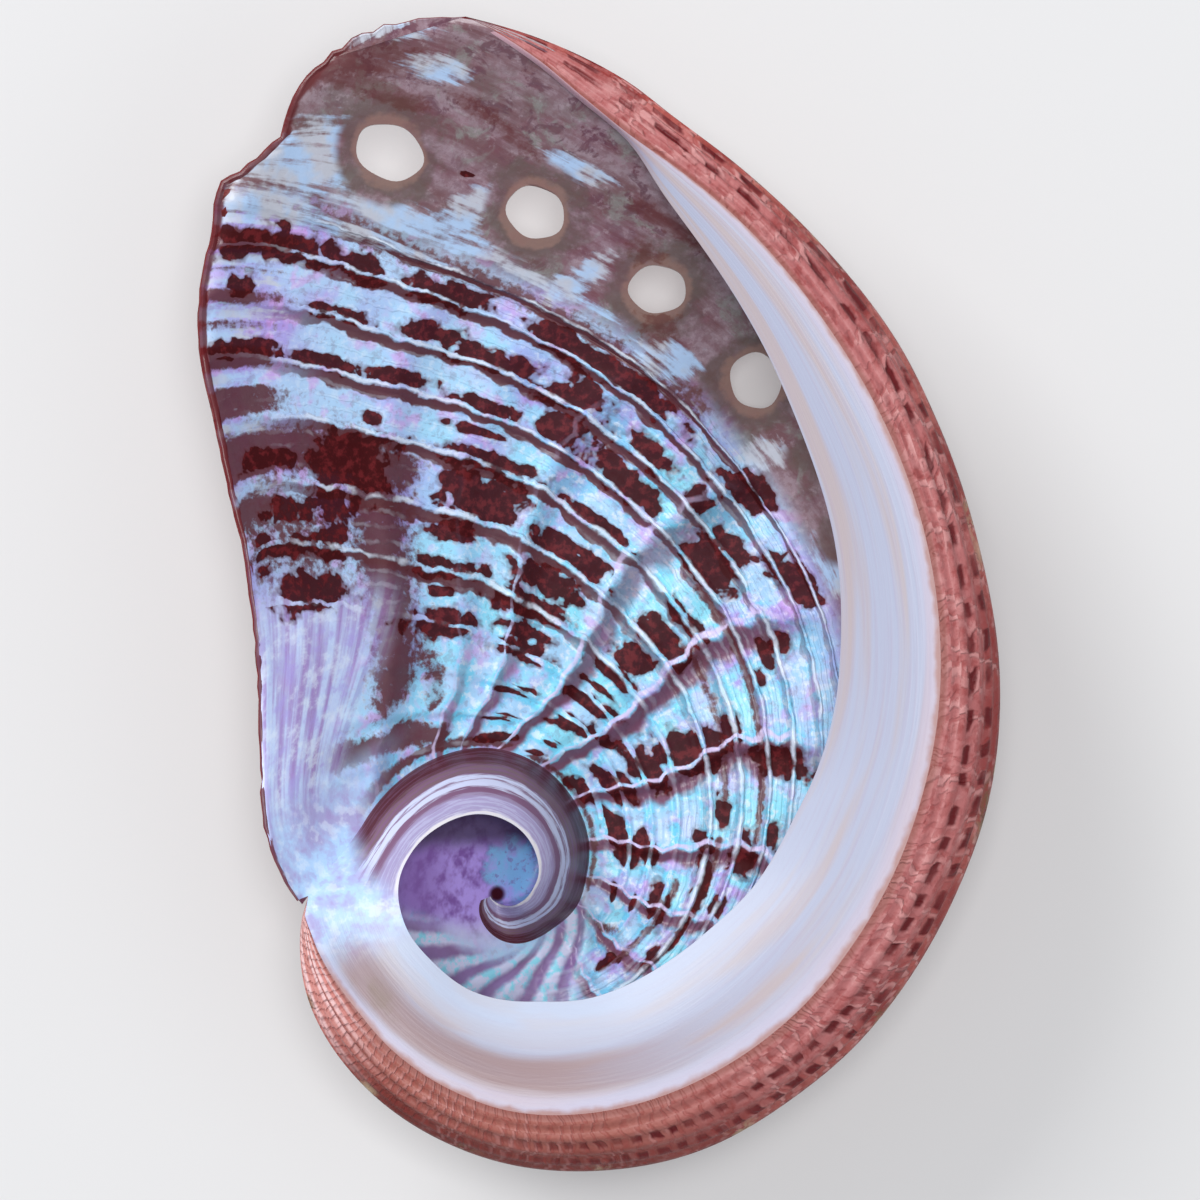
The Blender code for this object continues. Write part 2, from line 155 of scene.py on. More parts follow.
def dome(x, y, inset):
    dx, dy = x - shell["deepest"][0], y - shell["deepest"][1]
    radius = np.interp(np.arctan2(dy, dx), outlineAngles, outlineRadii, period=2 * math.pi) - inset
    share = np.minimum(np.hypot(dx, dy) / radius, 1.0)
    side = bulgeShare(x, y)
    level = shell["sideLevel"] * side
    form = blend(1 - share ** 1.75, np.sqrt(np.maximum(1 - share ** 2.3, 0.0)), side)
    return -level - (shell["depth"] - inset - level) * form


def lipRadius(angle, truth):
    return blend(smoothCurve(evenLip, angle), smoothCurve(lip, angle), truth)


def lipAngles(shares):
    # angles along the growing edge for even lengths from the notch to the tip
    angles = np.linspace(shell["notch"] + 360, shell["tip"], 900)
    radii = lipRadius(angles, 0.6)
    xs, ys = radii * np.cos(np.radians(angles)), radii * np.sin(np.radians(angles))
    lengths = np.concatenate([[0], np.cumsum(np.hypot(np.diff(xs), np.diff(ys)))])
    return np.interp(shares * lengths[-1], lengths, angles)


def growthPoints(turn, shares, start, end):
    # turn is a column of line positions, shares a row of places along each line
    angle = lipAngles(shares)[None, :]
    truth = np.exp(-turn / 6.0)
    first = lipRadius(np.array(shell["notch"] + 360), truth)
    last = lipRadius(np.array(shell["tip"]), truth)
    share = (lipRadius(angle, truth) - first) / (last - first)
    radius = start + (end - start) * share
    # small nicks of the growing edge
    nicks = np.sin(shares * 195) + np.sin(shares * 331 + 1) + 0.8 * np.sin(shares * 87 + 2)
    nicks = nicks * ramp(0.0, 0.06, shares) * ramp(1.0, 0.97, shares)
    nicks = nicks * blend(0.05, 0.13, ramp(0.7, 0.85, shares))
    radius = radius - np.maximum(nicks + 0.05, 0.0)[None, :] * np.exp(-turn / 1.6)
    spot = np.radians(angle - turn)
    return radius * np.cos(spot), radius * np.sin(spot), share


def borderInset(angle):
    return shell["wall"] * ramp(shell["notch"], shell["notch"] - 40, angle)


def atAngle(angle, radius):
    return radius * np.cos(np.radians(angle)), radius * np.sin(np.radians(angle))


apexLow = float(dome(0.0, 0.0, shell["wall"]))


def borderHeight(angle):
    x, y = atAngle(angle, smoothCurve(border, angle))
    return np.where(angle > shell["notch"], 0.0, dome(x, y, borderInset(angle)))


def floorUnderEdge(angle):
    x, y = atAngle(angle, smoothCurve(edge, angle))
    return dome(x, y, shell["wall"])


def edgeHeight(angle):
    shelfTop = -0.7 * ramp(92, 84, angle) \
        - shell["shelfDip"] * ramp(shell["notch"], -70, angle) * ramp(84, 10, angle)
    low = floorUnderEdge(angle)
    past = np.maximum(shell["notch"] - angle, 0)
    past = np.hypot(past, shell["ridgeEase"]) - shell["ridgeEase"]
    sink = np.exp(-shell["ridgeSink"] * np.radians(past))
    crest = apexLow + (-0.7 - apexLow) * sink
    ridgeTop = low + (crest - low) * ramp(-455, -385, angle)
    return np.where(angle > shell["notch"], shelfTop, ridgeTop)


def wallHere(angle):
    return blend(shell["notchWall"], shell["wall"], ramp(shell["notch"], -140, angle)) \
        * ramp(shell["tip"], 76, angle)


# growth folds: their place on the fold scale, where the eye reads one fold after another
folds = [7, 18, 28, 38, 54, 72, 91, 112, 131, 150, 169, 190, 212, 235, 258]
foldMarks = [(-12, -1)] + [(f, k) for k, f in enumerate(folds)] + [(320, len(folds) + 2)]
# main cords: their place on the cord scale, from the older whorl out to the holes
cords = [0.05, 0.11, 0.175, 0.24, 0.295, 0.351, 0.415, 0.478, 0.537, 0.591, 0.645, 0.683]
cordMarks = [(-0.2, -5)] + [(c, k) for k, c in enumerate(cords)] + [(1.2, 21)]


def foldScale(turn, along):
    # growth lines sweep back toward the older whorl near their foot
    scale = np.linspace(-20, 330, 701)
    sweep = np.maximum((0.45 - along) / 0.45, 0) ** 1.8
    result = np.empty(np.broadcast(turn, along).shape)
    for k in range(result.shape[1]):
        lineTurn = scale + 42 * ramp(2, 30, scale) * sweep.ravel()[k]
        result[:, k] = np.interp(turn.ravel(), lineTurn, scale)
    return result


def cordScale(turn, along):
    return along + 0.0015 * (0.8 - along) / 0.8 * 95 * np.tanh(turn / 95)


def foldIndex(scale):
    return np.interp(scale, [m[0] for m in foldMarks], [m[1] for m in foldMarks])


def cordIndex(scale):
    return np.interp(scale, [m[0] for m in cordMarks], [m[1] for m in cordMarks])


def floorRelief(turn, along):
    # raised cords and folds inside the dish, in millimetres
    foldAt, cordAt = foldScale(turn, along), cordScale(turn, along)
    fold = np.zeros(foldAt.shape)
    for k, place in enumerate(folds):
        strength = (0.25, 0.7, 0.35, 0.8)[k] if k < 4 else 1.0
        fold += strength * (0.34 * bump(foldAt, place, 1.5) - 0.22 * bump(foldAt, place + 4.0, 2.6)
                            + 0.14 * bump(foldAt, place + 11.0, 4.0))
    index = cordIndex(cordAt)
    part = index - np.floor(index + 0.5)
    cord = 0.17 * bump(part, 0.0, 0.13) - 0.15 * bump(part, -0.24, 0.13) + 0.03 * np.cos(6 * math.pi * part)
    cordFade = ramp(0.70, 0.67, along) * ramp(0.02, 0.12, along)
    cordFade = cordFade * blend(ramp(0.28, 0.36, along), 1.0, ramp(14, 30, turn))
    foldFade = ramp(0.74, 0.60, along) * ramp(0.0, 0.06, along) * ramp(0, 6, turn)
    size = ramp(0, 130, turn)
    late = ramp(230, 180, turn)
    rib = 0.28 * np.cos(2 * math.pi * turn / shell["lumpEvery"]) * ramp(172, 190, turn) * ramp(262, 235, turn)
    rib = rib * ramp(0.0, 0.15, along) * ramp(1.0, 0.6, along)
    fold = fold * foldFade * blend(1.0, 0.8, size)
    cord = cord * cordFade * blend(1.0, 0.55, size)
    return 1.35 * late * (fold + cord) + rib


def outsideRelief(turn, along):
    # scaly cords of the outside; they run along the coil
    cord = np.cos(2 * math.pi * 34 * along)
    fold = np.cos(2 * math.pi * turn / 9.0)
    return 0.11 * cord + 0.10 * fold * ramp(0.8, 0.5, along)


def holeRim(x, y):
    height = np.zeros(np.shape(x))
    for hx, hy, halfX, halfY, turn, top in holes:
        gap = np.hypot(x - hx, y - hy) - (halfX + halfY) / 2
        height = np.maximum(height, 0.5 * ramp(2.6, 0.2, gap))
    return height


def startRadius(curve, angle):
    return np.where(angle > shell["coilStart"], smoothCurve(curve, angle), 0.0)


def insideGrid(turns, shares, wallSteps, shelfSteps):
    # points, fold and cord coordinates of the inside: floor, under the shelf, shelf top
    turn = turns[:, None]
    startAngle, endAngle = shell["notch"] - turn, shell["tip"] - turn
    edgeRadius, borderRadius = smoothCurve(edge, endAngle), smoothCurve(border, endAngle)
    over = endAngle > shell["notch"]
    end = np.where(over, smoothCurve(bulge, endAngle) - wallHere(endAngle),
                   edgeRadius + smoothCurve(hollowReach, endAngle))
    start = startRadius(border, startAngle)
    x, y, share = growthPoints(turn, shares, start, end)
    reach = np.hypot(x, y)
    # the first line lies inside the lip, square to it
    rim = shell["lipWall"] * np.sin(math.pi * shares[None, :]) ** 0.4 * (turn < 0.01)
    alongX, alongY = np.gradient(x, axis=1), np.gradient(y, axis=1)
    stride = np.maximum(np.hypot(alongX, alongY), 1e-6)
    x, y = x + rim * alongY / stride, y - rim * alongX / stride
    depth = blend(shell["lipWall"], shell["wall"], ramp(0, 14, turn))
    depth = blend(borderInset(startAngle), depth, ramp(0.0, 0.12, share))
    depth = np.where(turn < 0.01, rim, depth)
    along = np.broadcast_to(shares[None, :], x.shape)
    relief = floorRelief(turn, shares[None, :]) * np.clip(reach / 12, 0, 1) * ramp(1.0, 0.97, share)
    z = dome(x, y, depth) + relief * ramp(0, 1.5, turn) * ramp(0.0, 0.04, share)
    sideLevel = -shell["sideLevel"] * bulgeShare(x[:, -1:], y[:, -1:])
    z[:, -1:] = np.where(over, blend(z[:, -1:], sideLevel, ramp(shell["notch"], -140, endAngle)), z[:, -1:])
    middle = (z[:, -1:] + edgeHeight(endAngle)) / 2
    lift = np.where(over, 0.0, ramp(shell["notch"], shell["notch"] - 20, endAngle))
    rise = 1 - np.sqrt(1 - np.minimum(np.hypot(x, y) / np.maximum(end, 0.01), 1.0) ** 8)
    z = z + (middle - z) * rise * lift
    top = edgeHeight(endAngle)
    widest = z[:, -1:]
    thin = np.minimum(shell["edgeWall"] * ramp(shell["tip"], 80, endAngle),
                      0.3 * np.maximum(top - floorUnderEdge(endAngle), 0.0))
    lean = 0.5 * math.pi * np.linspace(0, 1, wallSteps + 1)[None, 1:]
    wx, wy = atAngle(endAngle, edgeRadius + (end - edgeRadius) * np.cos(lean))
    wz = widest + (top - thin - widest) * np.sin(lean)
    across = np.linspace(0, 1, shelfSteps + 1)[None, :] ** 1.25
    sx, sy = atAngle(endAngle, blend(edgeRadius, borderRadius, across))
    level = borderHeight(endAngle)
    shelfZ = blend(top, level, np.sin(0.5 * math.pi * across))
    ridge = np.where(across < 1, np.maximum(np.cos(0.5 * math.pi * across), 0) ** 0.8, 0.0)
    overFloor = dome(sx, sy, borderInset(endAngle)) + (top - floorUnderEdge(endAngle)) * ridge
    ridgeZ = blend(blend(level, top, ridge), overFloor, ramp(-330, -430, endAngle))
    toRidge = ramp(-120, shell["notch"], endAngle)
    sz = np.where(over, blend(shelfZ, blend(level, top, ridge), toRidge), ridgeZ)
    full = np.stack([np.concatenate(parts, 1) for parts in ((x, wx, sx), (y, wy, sy), (z, wz, sz))], -1)
    tipX, tipY = atAngle(shell["tip"], shell["tipRadius"])
    if turns[0] == 0:
        full[0, len(shares) - 1:] = (tipX, tipY, 0.0)
    full[endAngle[:, 0] < shell["coilStart"]] = (0, 0, apexLow)
    foldAt = foldIndex(foldScale(turn, shares[None, :]))
    cordAt = cordIndex(cordScale(turn, along))
    u = np.concatenate([foldAt, np.repeat(foldAt[:, -1:], wx.shape[1], 1),
                        np.repeat(-endAngle / 100, sx.shape[1], 1)], 1)
    v = np.concatenate([cordAt, np.repeat(cordAt[:, -1:], wx.shape[1], 1),
                        np.repeat(across, len(turns), 0)], 1)
    beyond = wx.shape[1] + sx.shape[1]
    grown = np.concatenate([np.broadcast_to(turn / 100, x.shape), np.repeat(turn / 100, beyond, 1)], 1)
    shareAll = np.concatenate([along, np.ones((len(turns), beyond))], 1)
    return full, np.stack([u, v], -1), np.stack([grown, shareAll], -1)


def outsideGrid(turns, shares, wallSteps):
    # the dome and the side wall up to the shelf's border; the first rows round the lip over
    turn = turns[:, None]
    startAngle, endAngle = shell["notch"] - turn, shell["tip"] - turn
    over = endAngle > shell["notch"]
    start = startRadius(seam, startAngle)
    end = np.where(over, smoothCurve(bulge, endAngle), smoothCurve(seam, endAngle))
    x, y, share = growthPoints(turn, shares, start, end)
    reach = np.hypot(x, y)
    grooveWidth = np.minimum(3.0, 0.4 * (end - start)) + 0.001
    startGroove = shell["suture"] * ramp(-176, -236, startAngle) * np.minimum(start / 8, 1.0)
    endGroove = shell["suture"] * ramp(-176, -236, endAngle) * np.minimum(end / 8, 1.0)
    groove = startGroove * ramp(grooveWidth, 0.0, reach - start)
    groove = groove + np.where(over, 0.0, endGroove * ramp(grooveWidth, 0.0, end - reach))
    swell = outsideRelief(turn, shares[None, :]) * np.clip(reach / 12, 0, 1) * ramp(0, 3, turn)
    swell = swell * ramp(0.0, 0.05, share)
    byWall = ramp(1.0, 0.97, reach / np.maximum(end, 0.01))
    swell = np.where(over, swell * byWall, swell * ramp(1.0, 0.9, share))
    swell = swell + holeRim(x, y) * ramp(0, 4, turn)
    z = dome(x, y, 0.0) - swell + groove
    z[:, -1:] = np.where(over, -shell["sideLevel"] * bulgeShare(x[:, -1:], y[:, -1:]), z[:, -1:])
    level = z[:, -1:]
    borderRadius = smoothCurve(border, endAngle)
    part = np.linspace(0, 1, wallSteps + 1)[None, 1:]
    lean = 0.5 * math.pi * part
    scale = 0.13 * np.cos(2 * math.pi * 5.5 * part) * ramp(0.0, 0.1, part) * ramp(1.0, 0.85, part)
    scale = scale * ramp(0, 20, turn) * ramp(268, 240, turn)
    outer = borderRadius + (end - borderRadius) * np.cos(lean) + scale * np.cos(lean)
    wx, wy = atAngle(endAngle, outer)
    wz = level * (1 - np.sin(lean)) + scale * np.sin(lean)
    stay = np.broadcast_to(over, wx.shape)
    wx, wy = np.where(stay, wx, x[:, -1:]), np.where(stay, wy, y[:, -1:])
    wz = np.where(stay, wz, level)
    full = np.stack([np.concatenate(pair, 1) for pair in ((x, wx), (y, wy), (z, wz))], -1)
    if turns[0] == 0:
        tipX, tipY = atAngle(shell["tip"], shell["tipRadius"])
        full[0, len(shares) - 1:] = (tipX, tipY, 0.0)
    full[endAngle[:, 0] < shell["coilStart"]] = (0, 0, float(dome(0.0, 0.0, 0.0)))
    v = np.concatenate([np.broadcast_to(shares[None, :], x.shape), np.broadcast_to(1 + part, wx.shape)], 1)
    u = np.broadcast_to(turn / 100, v.shape)
    return full, np.stack([u, v], -1), np.stack([u, v], -1)


whorl = 268.0
mainTurns = []
at = 0.0
while at < whorl - 0.5:
    mainTurns.append(at)
    at += 0.85 if at < 135 else 1.65
mainTurns = np.array(mainTurns) * whorl / at
lineCount = len(mainTurns)
oldTurns = np.concatenate([mainTurns + whorl, mainTurns + 2 * whorl, mainTurns + 3 * whorl])
oldTurns = oldTurns[oldTurns < 92 + 518 + 3]
print("lines", lineCount, len(oldTurns))


def addGrid(mesh, points, firstUv, secondUv, slot, layers):
    rows, columns = points.shape[:2]
    made = bmesh.ops.create_grid(mesh, x_segments=columns - 1, y_segments=rows - 1, size=1.0)["verts"]
    spots = np.array([v.co for v in made])
    column = np.rint((spots[:, 0] + 1) / 2 * (columns - 1)).astype(int)
    row = np.rint((spots[:, 1] + 1) / 2 * (rows - 1)).astype(int)
    placed = points[row, column] * mm
    for vert, place, i, j in zip(made, placed, row, column):
        vert.co = place
        vert[layers["row"]] = i
        vert[layers["column"]] = j
    mesh.verts.index_update()
    faces = {f for v in made for f in v.link_faces}
    for face in faces:
        face.smooth = True
        for loop in face.loops:
            i, j = loop.vert[layers["row"]], loop.vert[layers["column"]]
            loop[layers["first"]].uv = firstUv[i, j]
            loop[layers["second"]].uv = secondUv[i, j]
        face.material_index = slot(min(loop.vert[layers["column"]] for loop in face.loops),
                                   min(loop.vert[layers["row"]] for loop in face.loops))
    return made


print("stage: measures ready")


# dark spots of the dish: turn from, turn to, along from, along to
spots = [
    (13, 14, 0.774, 0.783), (2, 4, 0.338, 0.363), (2, 4, 0.317, 0.329), (2, 4, 0.592, 0.613),
    (0, 7, 0.533, 0.55), (2, 8, 0.421, 0.442), (1, 9, 0.629, 0.662), (4, 10, 0.367, 0.392), (4, 10, 0.333, 0.354),
    (4, 15, 0.279, 0.317), (8, 14, 0.583, 0.6), (8, 14, 0.529, 0.546), (10, 14, 0.629, 0.662),
    (10, 14, 0.367, 0.408), (10, 14, 0.325, 0.363), (10, 19, 0.4, 0.463), (15, 17, 0.475, 0.492),
    (14, 22, 0.529, 0.55), (15, 23, 0.629, 0.662), (17, 22, 0.588, 0.613), (22, 32, 0.575, 0.604),
    (23, 32, 0.521, 0.542), (25, 32, 0.492, 0.504), (25, 32, 0.363, 0.387), (27, 32, 0.296, 0.306),
    (25, 38, 0.45, 0.475), (26, 37, 0.4, 0.446), (26, 37, 0.392, 0.417), (25, 38, 0.317, 0.338),
    (26, 40, 0.246, 0.279), (32, 39, 0.567, 0.613), (34, 39, 0.517, 0.562), (28, 45, 0.629, 0.662),
    (42, 50, 0.567, 0.604), (38, 54, 0.296, 0.325), (41, 52, 0.508, 0.554), (40, 52, 0.333, 0.371),
    (40, 54, 0.4, 0.417), (40, 54, 0.379, 0.408), (42, 55, 0.446, 0.463), (44, 56, 0.267, 0.287),
    (44, 58, 0.233, 0.262), (52, 55, 0.567, 0.608), (52, 58, 0.625, 0.692), (58, 64, 0.55, 0.6),
    (56, 66, 0.162, 0.181), (57, 66, 0.5, 0.567), (64, 71, 0.617, 0.679), (63, 72, 0.425, 0.45),
    (63, 73, 0.363, 0.408), (64, 72, 0.308, 0.35), (63, 75, 0.275, 0.3), (66, 76, 0.246, 0.258),
    (68, 80, 0.083, 0.108), (68, 82, 0.2, 0.233), (74, 78, 0.55, 0.592), (74, 80, 0.529, 0.55),
    (79, 82, 0.492, 0.525), (78, 93, 0.017, 0.05), (80, 92, 0.125, 0.183), (85, 91, 0.408, 0.442),
    (87, 98, 0.262, 0.396), (90, 96, 0.258, 0.363), (92, 98, 0.458, 0.583), (95, 101, 0.062, 0.083),
    (92, 105, 0.192, 0.258), (100, 106, 0.012, 0.033), (102, 109, 0.363, 0.404),
    (105, 111, 0.496, 0.537), (106, 117, 0.097, 0.175), (108, 118, 0.408, 0.475),
    (111, 116, 0.316, 0.363), (112, 120, 0.092, 0.133), (116, 131, 0.336, 0.378),
    (118, 131, 0.008, 0.071), (123, 130, 0.399, 0.435), (122, 132, 0.154, 0.217),
    (129, 145, 0.342, 0.363), (129, 146, 0.055, 0.154), (132, 145, 0.222, 0.295),
    (146, 152, 0.175, 0.196), (147, 155, 0.31, 0.342), (156, 163, 0.092, 0.128),
    (151, 173, 0.253, 0.269), (164, 173, 0.217, 0.264)]
# brown streaks: half width along, strength, then the turn and place of each bend
streaks = [
    (0.030, 0.8, (0, 0.44), (12, 0.44), (20, 0.43)), (0.10, 0.5, (5, 0.36), (8, 0.34)),
    (0.05, 0.75, (17, 0.40), (20, 0.32), (24, 0.24), (30, 0.17)),
    (0.022, 0.8, (14, 0.115), (30, 0.095), (48, 0.075), (60, 0.06)),
    (0.020, 0.8, (38, 0.105), (50, 0.075), (64, 0.045)),
    (0.016, 0.75, (30, 0.02), (60, 0.03), (95, 0.012)),
    (0.014, 0.6, (105, 0.012), (150, 0.016), (200, 0.01)),
    (0.012, 0.7, (64, 0.49), (80, 0.485), (115, 0.465)),
    (0.012, 0.6, (70, 0.41), (90, 0.40), (104, 0.385)),
    (0.014, 0.7, (112, 0.375), (130, 0.36), (156, 0.335)),
    (0.014, 0.7, (128, 0.29), (150, 0.262), (172, 0.25)),
    (0.02, 0.55, (28, 0.245), (38, 0.19), (46, 0.13)),
    (0.015, 0.5, (160, 0.20), (172, 0.13), (185, 0.06)),
    (0.02, 0.65, (0, 0.685), (20, 0.68), (45, 0.672)),
    (0.02, 0.6, (28, 0.80), (38, 0.70), (44, 0.69)), (0.026, 0.95, (0, 0.845), (2.5, 0.87)),
    (0.014, 0.8, (3, 0.835), (7, 0.83)), (0.010, 0.6, (9, 0.86), (16, 0.84)),
    (0.016, 0.7, (24, 0.85), (30, 0.86))]
# pale patches round the holes and at the lip: turn from, turn to, along from, along to
palePatches = [
    (-3, 2.6, 0.89, 0.95), (-2, 8, 0.70, 0.79), (5, 22, 0.700, 0.728), (14, 17, 0.69, 0.78),
    (25.5, 28, 0.68, 0.765), (36, 41, 0.67, 0.735), (49.5, 53, 0.68, 0.75), (20, 34, 0.70, 0.715),
    (16, 21, 0.835, 0.87), (4, 8, 0.86, 0.90), (-2, 16, 0.672, 0.690), (62, 70, 0.70, 0.74)]
# holes that the shell has closed again: x, y, half width
closedHoles = [(22.0, 30.5, 0.7), (24.0, 24.6, 0.5)]
# pale bands that meet the lip from the margin inward
lipBands = [0.692, 0.668, 0.63, 0.608, 0.577, 0.553, 0.514, 0.467, 0.407]
fullPatch = 0.5


def spotField(turn, along):
    # above one half inside a dark spot, falling to nothing outside it
    field = np.zeros(turn.shape)
    for t0, t1, v0, v1 in spots:
        dt = (turn - (t0 + t1) / 2) / ((t1 - t0) / 2)
        dv = (along - (v0 + v1) / 2) / ((v1 - v0) / 2)
        near = (np.abs(dt) < 2.2) & (np.abs(dv) < 2.2)
        reach = (np.abs(dt[near]) ** 3 + np.abs(dv[near]) ** 3) ** (1 / 3)
        field[near] = np.maximum(field[near], np.clip(1.0 - fullPatch * reach, 0, 1))
    return field


def streakField(turn, along):
    field = np.zeros(turn.shape)
    turnScale = 100.0
    for width, strength, *bends in streaks:
        for (ta, va), (tb, vb) in zip(bends[:-1], bends[1:]):
            ax, bx = ta / turnScale, tb / turnScale
            length = (bx - ax) ** 2 + (vb - va) ** 2
            part = np.clip(((turn / turnScale - ax) * (bx - ax) + (along - va) * (vb - va)) / length, 0, 1)
            gap = np.hypot(turn / turnScale - ax - part * (bx - ax), along - va - part * (vb - va))
            field = np.maximum(field, strength * np.exp(-(gap / width) ** 2))
    return field


def dishMarks(turn, along):
    # dark spots, brown, cyan and white of each place in the dish
    dark = spotField(turn, along)
    brown = streakField(turn, along)
    nearLip = ramp(11, 3, turn)
    band = sum(bump(along, place, 0.008) for place in lipBands)
    inRow = ramp(0.33, 0.40, along) * ramp(0.74, 0.70, along)
    brown = np.maximum(brown, 0.85 * nearLip * inRow * (1 - np.clip(band * 1.4, 0, 1)))
    cyan = ramp(8, 55, turn) * ramp(0.70, 0.58, along) * ramp(300, 150, turn)
    cyan = np.maximum(cyan * 0.85, 0.9 * bump(turn, 85, 16) * bump(along, 0.25, 0.09))
    cyan = np.maximum(cyan, 0.8 * bump(turn, 75, 20) * bump(along, 0.11, 0.05))
    white = nearLip * np.clip(band, 0, 1) * inRow
    for t0, t1, v0, v1 in palePatches:
        dt = np.abs(turn - (t0 + t1) / 2) / ((t1 - t0) / 2)
        dv = np.abs(along - (v0 + v1) / 2) / ((v1 - v0) / 2)
        white = np.maximum(white, 0.95 * np.clip(1.6 - np.hypot(dt, dv), 0, 1))
    return np.stack([dark, brown, cyan, white], -1)


def dishZones(turn, along, x, y):
    # the zone of the holes, the streaky foot of the lip, the violet spire and the halo of the holes
    holeZone = ramp(0.675, 0.72, along)
    foot = ramp(0.33, 0.27, along) * ramp(26, 15, turn) * ramp(0.02, 0.08, along)
    spire = ramp(225, 300, turn)
    halo = np.zeros(turn.shape)
    for hx, hy, halfX, halfY, tilt, top in holes:
        gap = np.hypot(x - hx, y - hy) - (halfX + halfY) / 2
        halo = np.maximum(halo, ramp(3.6, 0.0, gap))
        holeZone = np.maximum(holeZone, ramp(0.9, 0.5, gap))
    for hx, hy, half in closedHoles:
        halo = np.maximum(halo, 0.8 * ramp(3.4, 0.0, np.hypot(x - hx, y - hy) - half))
    return np.stack([holeZone, foot, spire, halo], -1)


def chainEdges(row):
    # edges that join the vertices of one grid row
    members = set(row)
    return [e for v in row for e in v.link_edges if e.other_vert(v) in members]


def rowOf(grid, layers, index):
    # the vertices of one grid row in the order of its columns
    return sorted((v for v in grid if v[layers["row"]] == index), key=lambda v: v[layers["column"]])


def dressJoin(made, low, layers):
    # the faces of a join take their finish and maps from the grids beside them
    for face in made:
        face.smooth = True
        beside = [f.material_index for v in face.verts if v in low for f in v.link_faces if f not in made]
        face.material_index = max(set(beside), key=beside.count)
        for loop in face.loops:
            near = [other for other in loop.vert.link_loops if other.face not in made]
            alike = [other for other in near if other.face.material_index == face.material_index]
            for layer in (layers["first"], layers["second"]):
                loop[layer].uv = (alike or near)[0][layer].uv


def makeShellMesh():
    mesh = bmesh.new()
    layers = {"row": mesh.verts.layers.int.new("row"), "column": mesh.verts.layers.int.new("column"),
              "first": mesh.loops.layers.uv.new("pattern"), "second": mesh.loops.layers.uv.new("growth")}
    floorShares, oldShares = np.linspace(0, 1, 172), np.linspace(0, 1, 21)
    outShares, oldOutShares = np.linspace(0, 1, 91), np.linspace(0, 1, 15)
    nacreSlot, shelfSlot, redSlot = 0, 1, 2
    new = insideGrid(mainTurns, floorShares, 8, 14)
    inside = addGrid(mesh, *new, lambda j, i: nacreSlot if j < len(floorShares) + 7 else shelfSlot, layers)
    old = insideGrid(oldTurns, oldShares, 4, 16)
    oldInside = addGrid(mesh, *old, lambda j, i: nacreSlot if j < len(oldShares) + 3 else shelfSlot, layers)
    full, first, second = outsideGrid(mainTurns, outShares, 28)
    # the lip is rounded over from the inner edge to the outer one
    lipPoints, lipPattern, lipGrowth = insideGrid(np.array([0.0]), outShares, 8, 14)
    lipIn = lipPoints[0, :len(outShares)]
    lipOut = full[0, :len(outShares)]
    rolled = []
    for part in (0.12, 0.45, 0.8):
        row = full[0].copy()
        row[:len(outShares)] = lipIn + (lipOut - lipIn) * part
        thick = np.linalg.norm(lipOut - lipIn, axis=1)
        row[:len(outShares), 2] += 0.35 * thick * math.sin(math.pi * part)
        rolled.append(row)
    full = np.concatenate([np.stack(rolled), full])
    rimPattern, rimGrowth = np.repeat(first[:1], 3, 0), np.repeat(first[:1], 3, 0)
    for k, place in enumerate((-0.001, -0.003, -0.005)):
        rimPattern[k, :len(outShares)] = lipPattern[0, :len(outShares)]
        rimGrowth[k, :, 0] = place
    outside = addGrid(mesh, full, np.concatenate([rimPattern, first]), np.concatenate([rimGrowth, first]),
                      lambda j, i: nacreSlot if i < 2 and j < len(outShares) else redSlot, layers)
    full, first, second = outsideGrid(oldTurns, oldOutShares, 0)
    oldOutside = addGrid(mesh, full, first, first, lambda j, i: redSlot, layers)
    print("stage: grids made", len(mesh.verts))
    # each section of the newer whorl meets the same section of the older one
    newIn, oldIn = rowOf(inside, layers, lineCount - 1), rowOf(oldInside, layers, 0)
    newOut, oldOut = rowOf(outside, layers, lineCount + 2), rowOf(oldOutside, layers, 0)
    joins = [(newIn[:172], oldIn[:21]), (newIn[171:181], oldIn[20:26]), (newIn[180:], oldIn[25:]),
             (newOut[:90], oldOut[:14]), (newOut[89:], oldOut[13:]),
             (rowOf(inside, layers, 0), rowOf(outside, layers, 0))]
    for low, high in joins:
        edges = list(set(chainEdges(low)) | set(chainEdges(high)))
        dressJoin(set(bmesh.ops.bridge_loops(mesh, edges=edges)["faces"]), set(low), layers)
    print("stage: grids joined")
    bmesh.ops.remove_doubles(mesh, verts=mesh.verts, dist=5e-7)
    bmesh.ops.recalc_face_normals(mesh, faces=mesh.faces)
    shared = [e for e in mesh.edges if not e.is_manifold]
    bmesh.ops.collapse(mesh, edges=shared)
    print("open or shared edges", len([e for e in mesh.edges if not e.is_manifold]), "faces", len(mesh.faces))
    data = bpy.data.meshes.new("shell_visual")
    mesh.to_mesh(data)
    mesh.free()
    return data


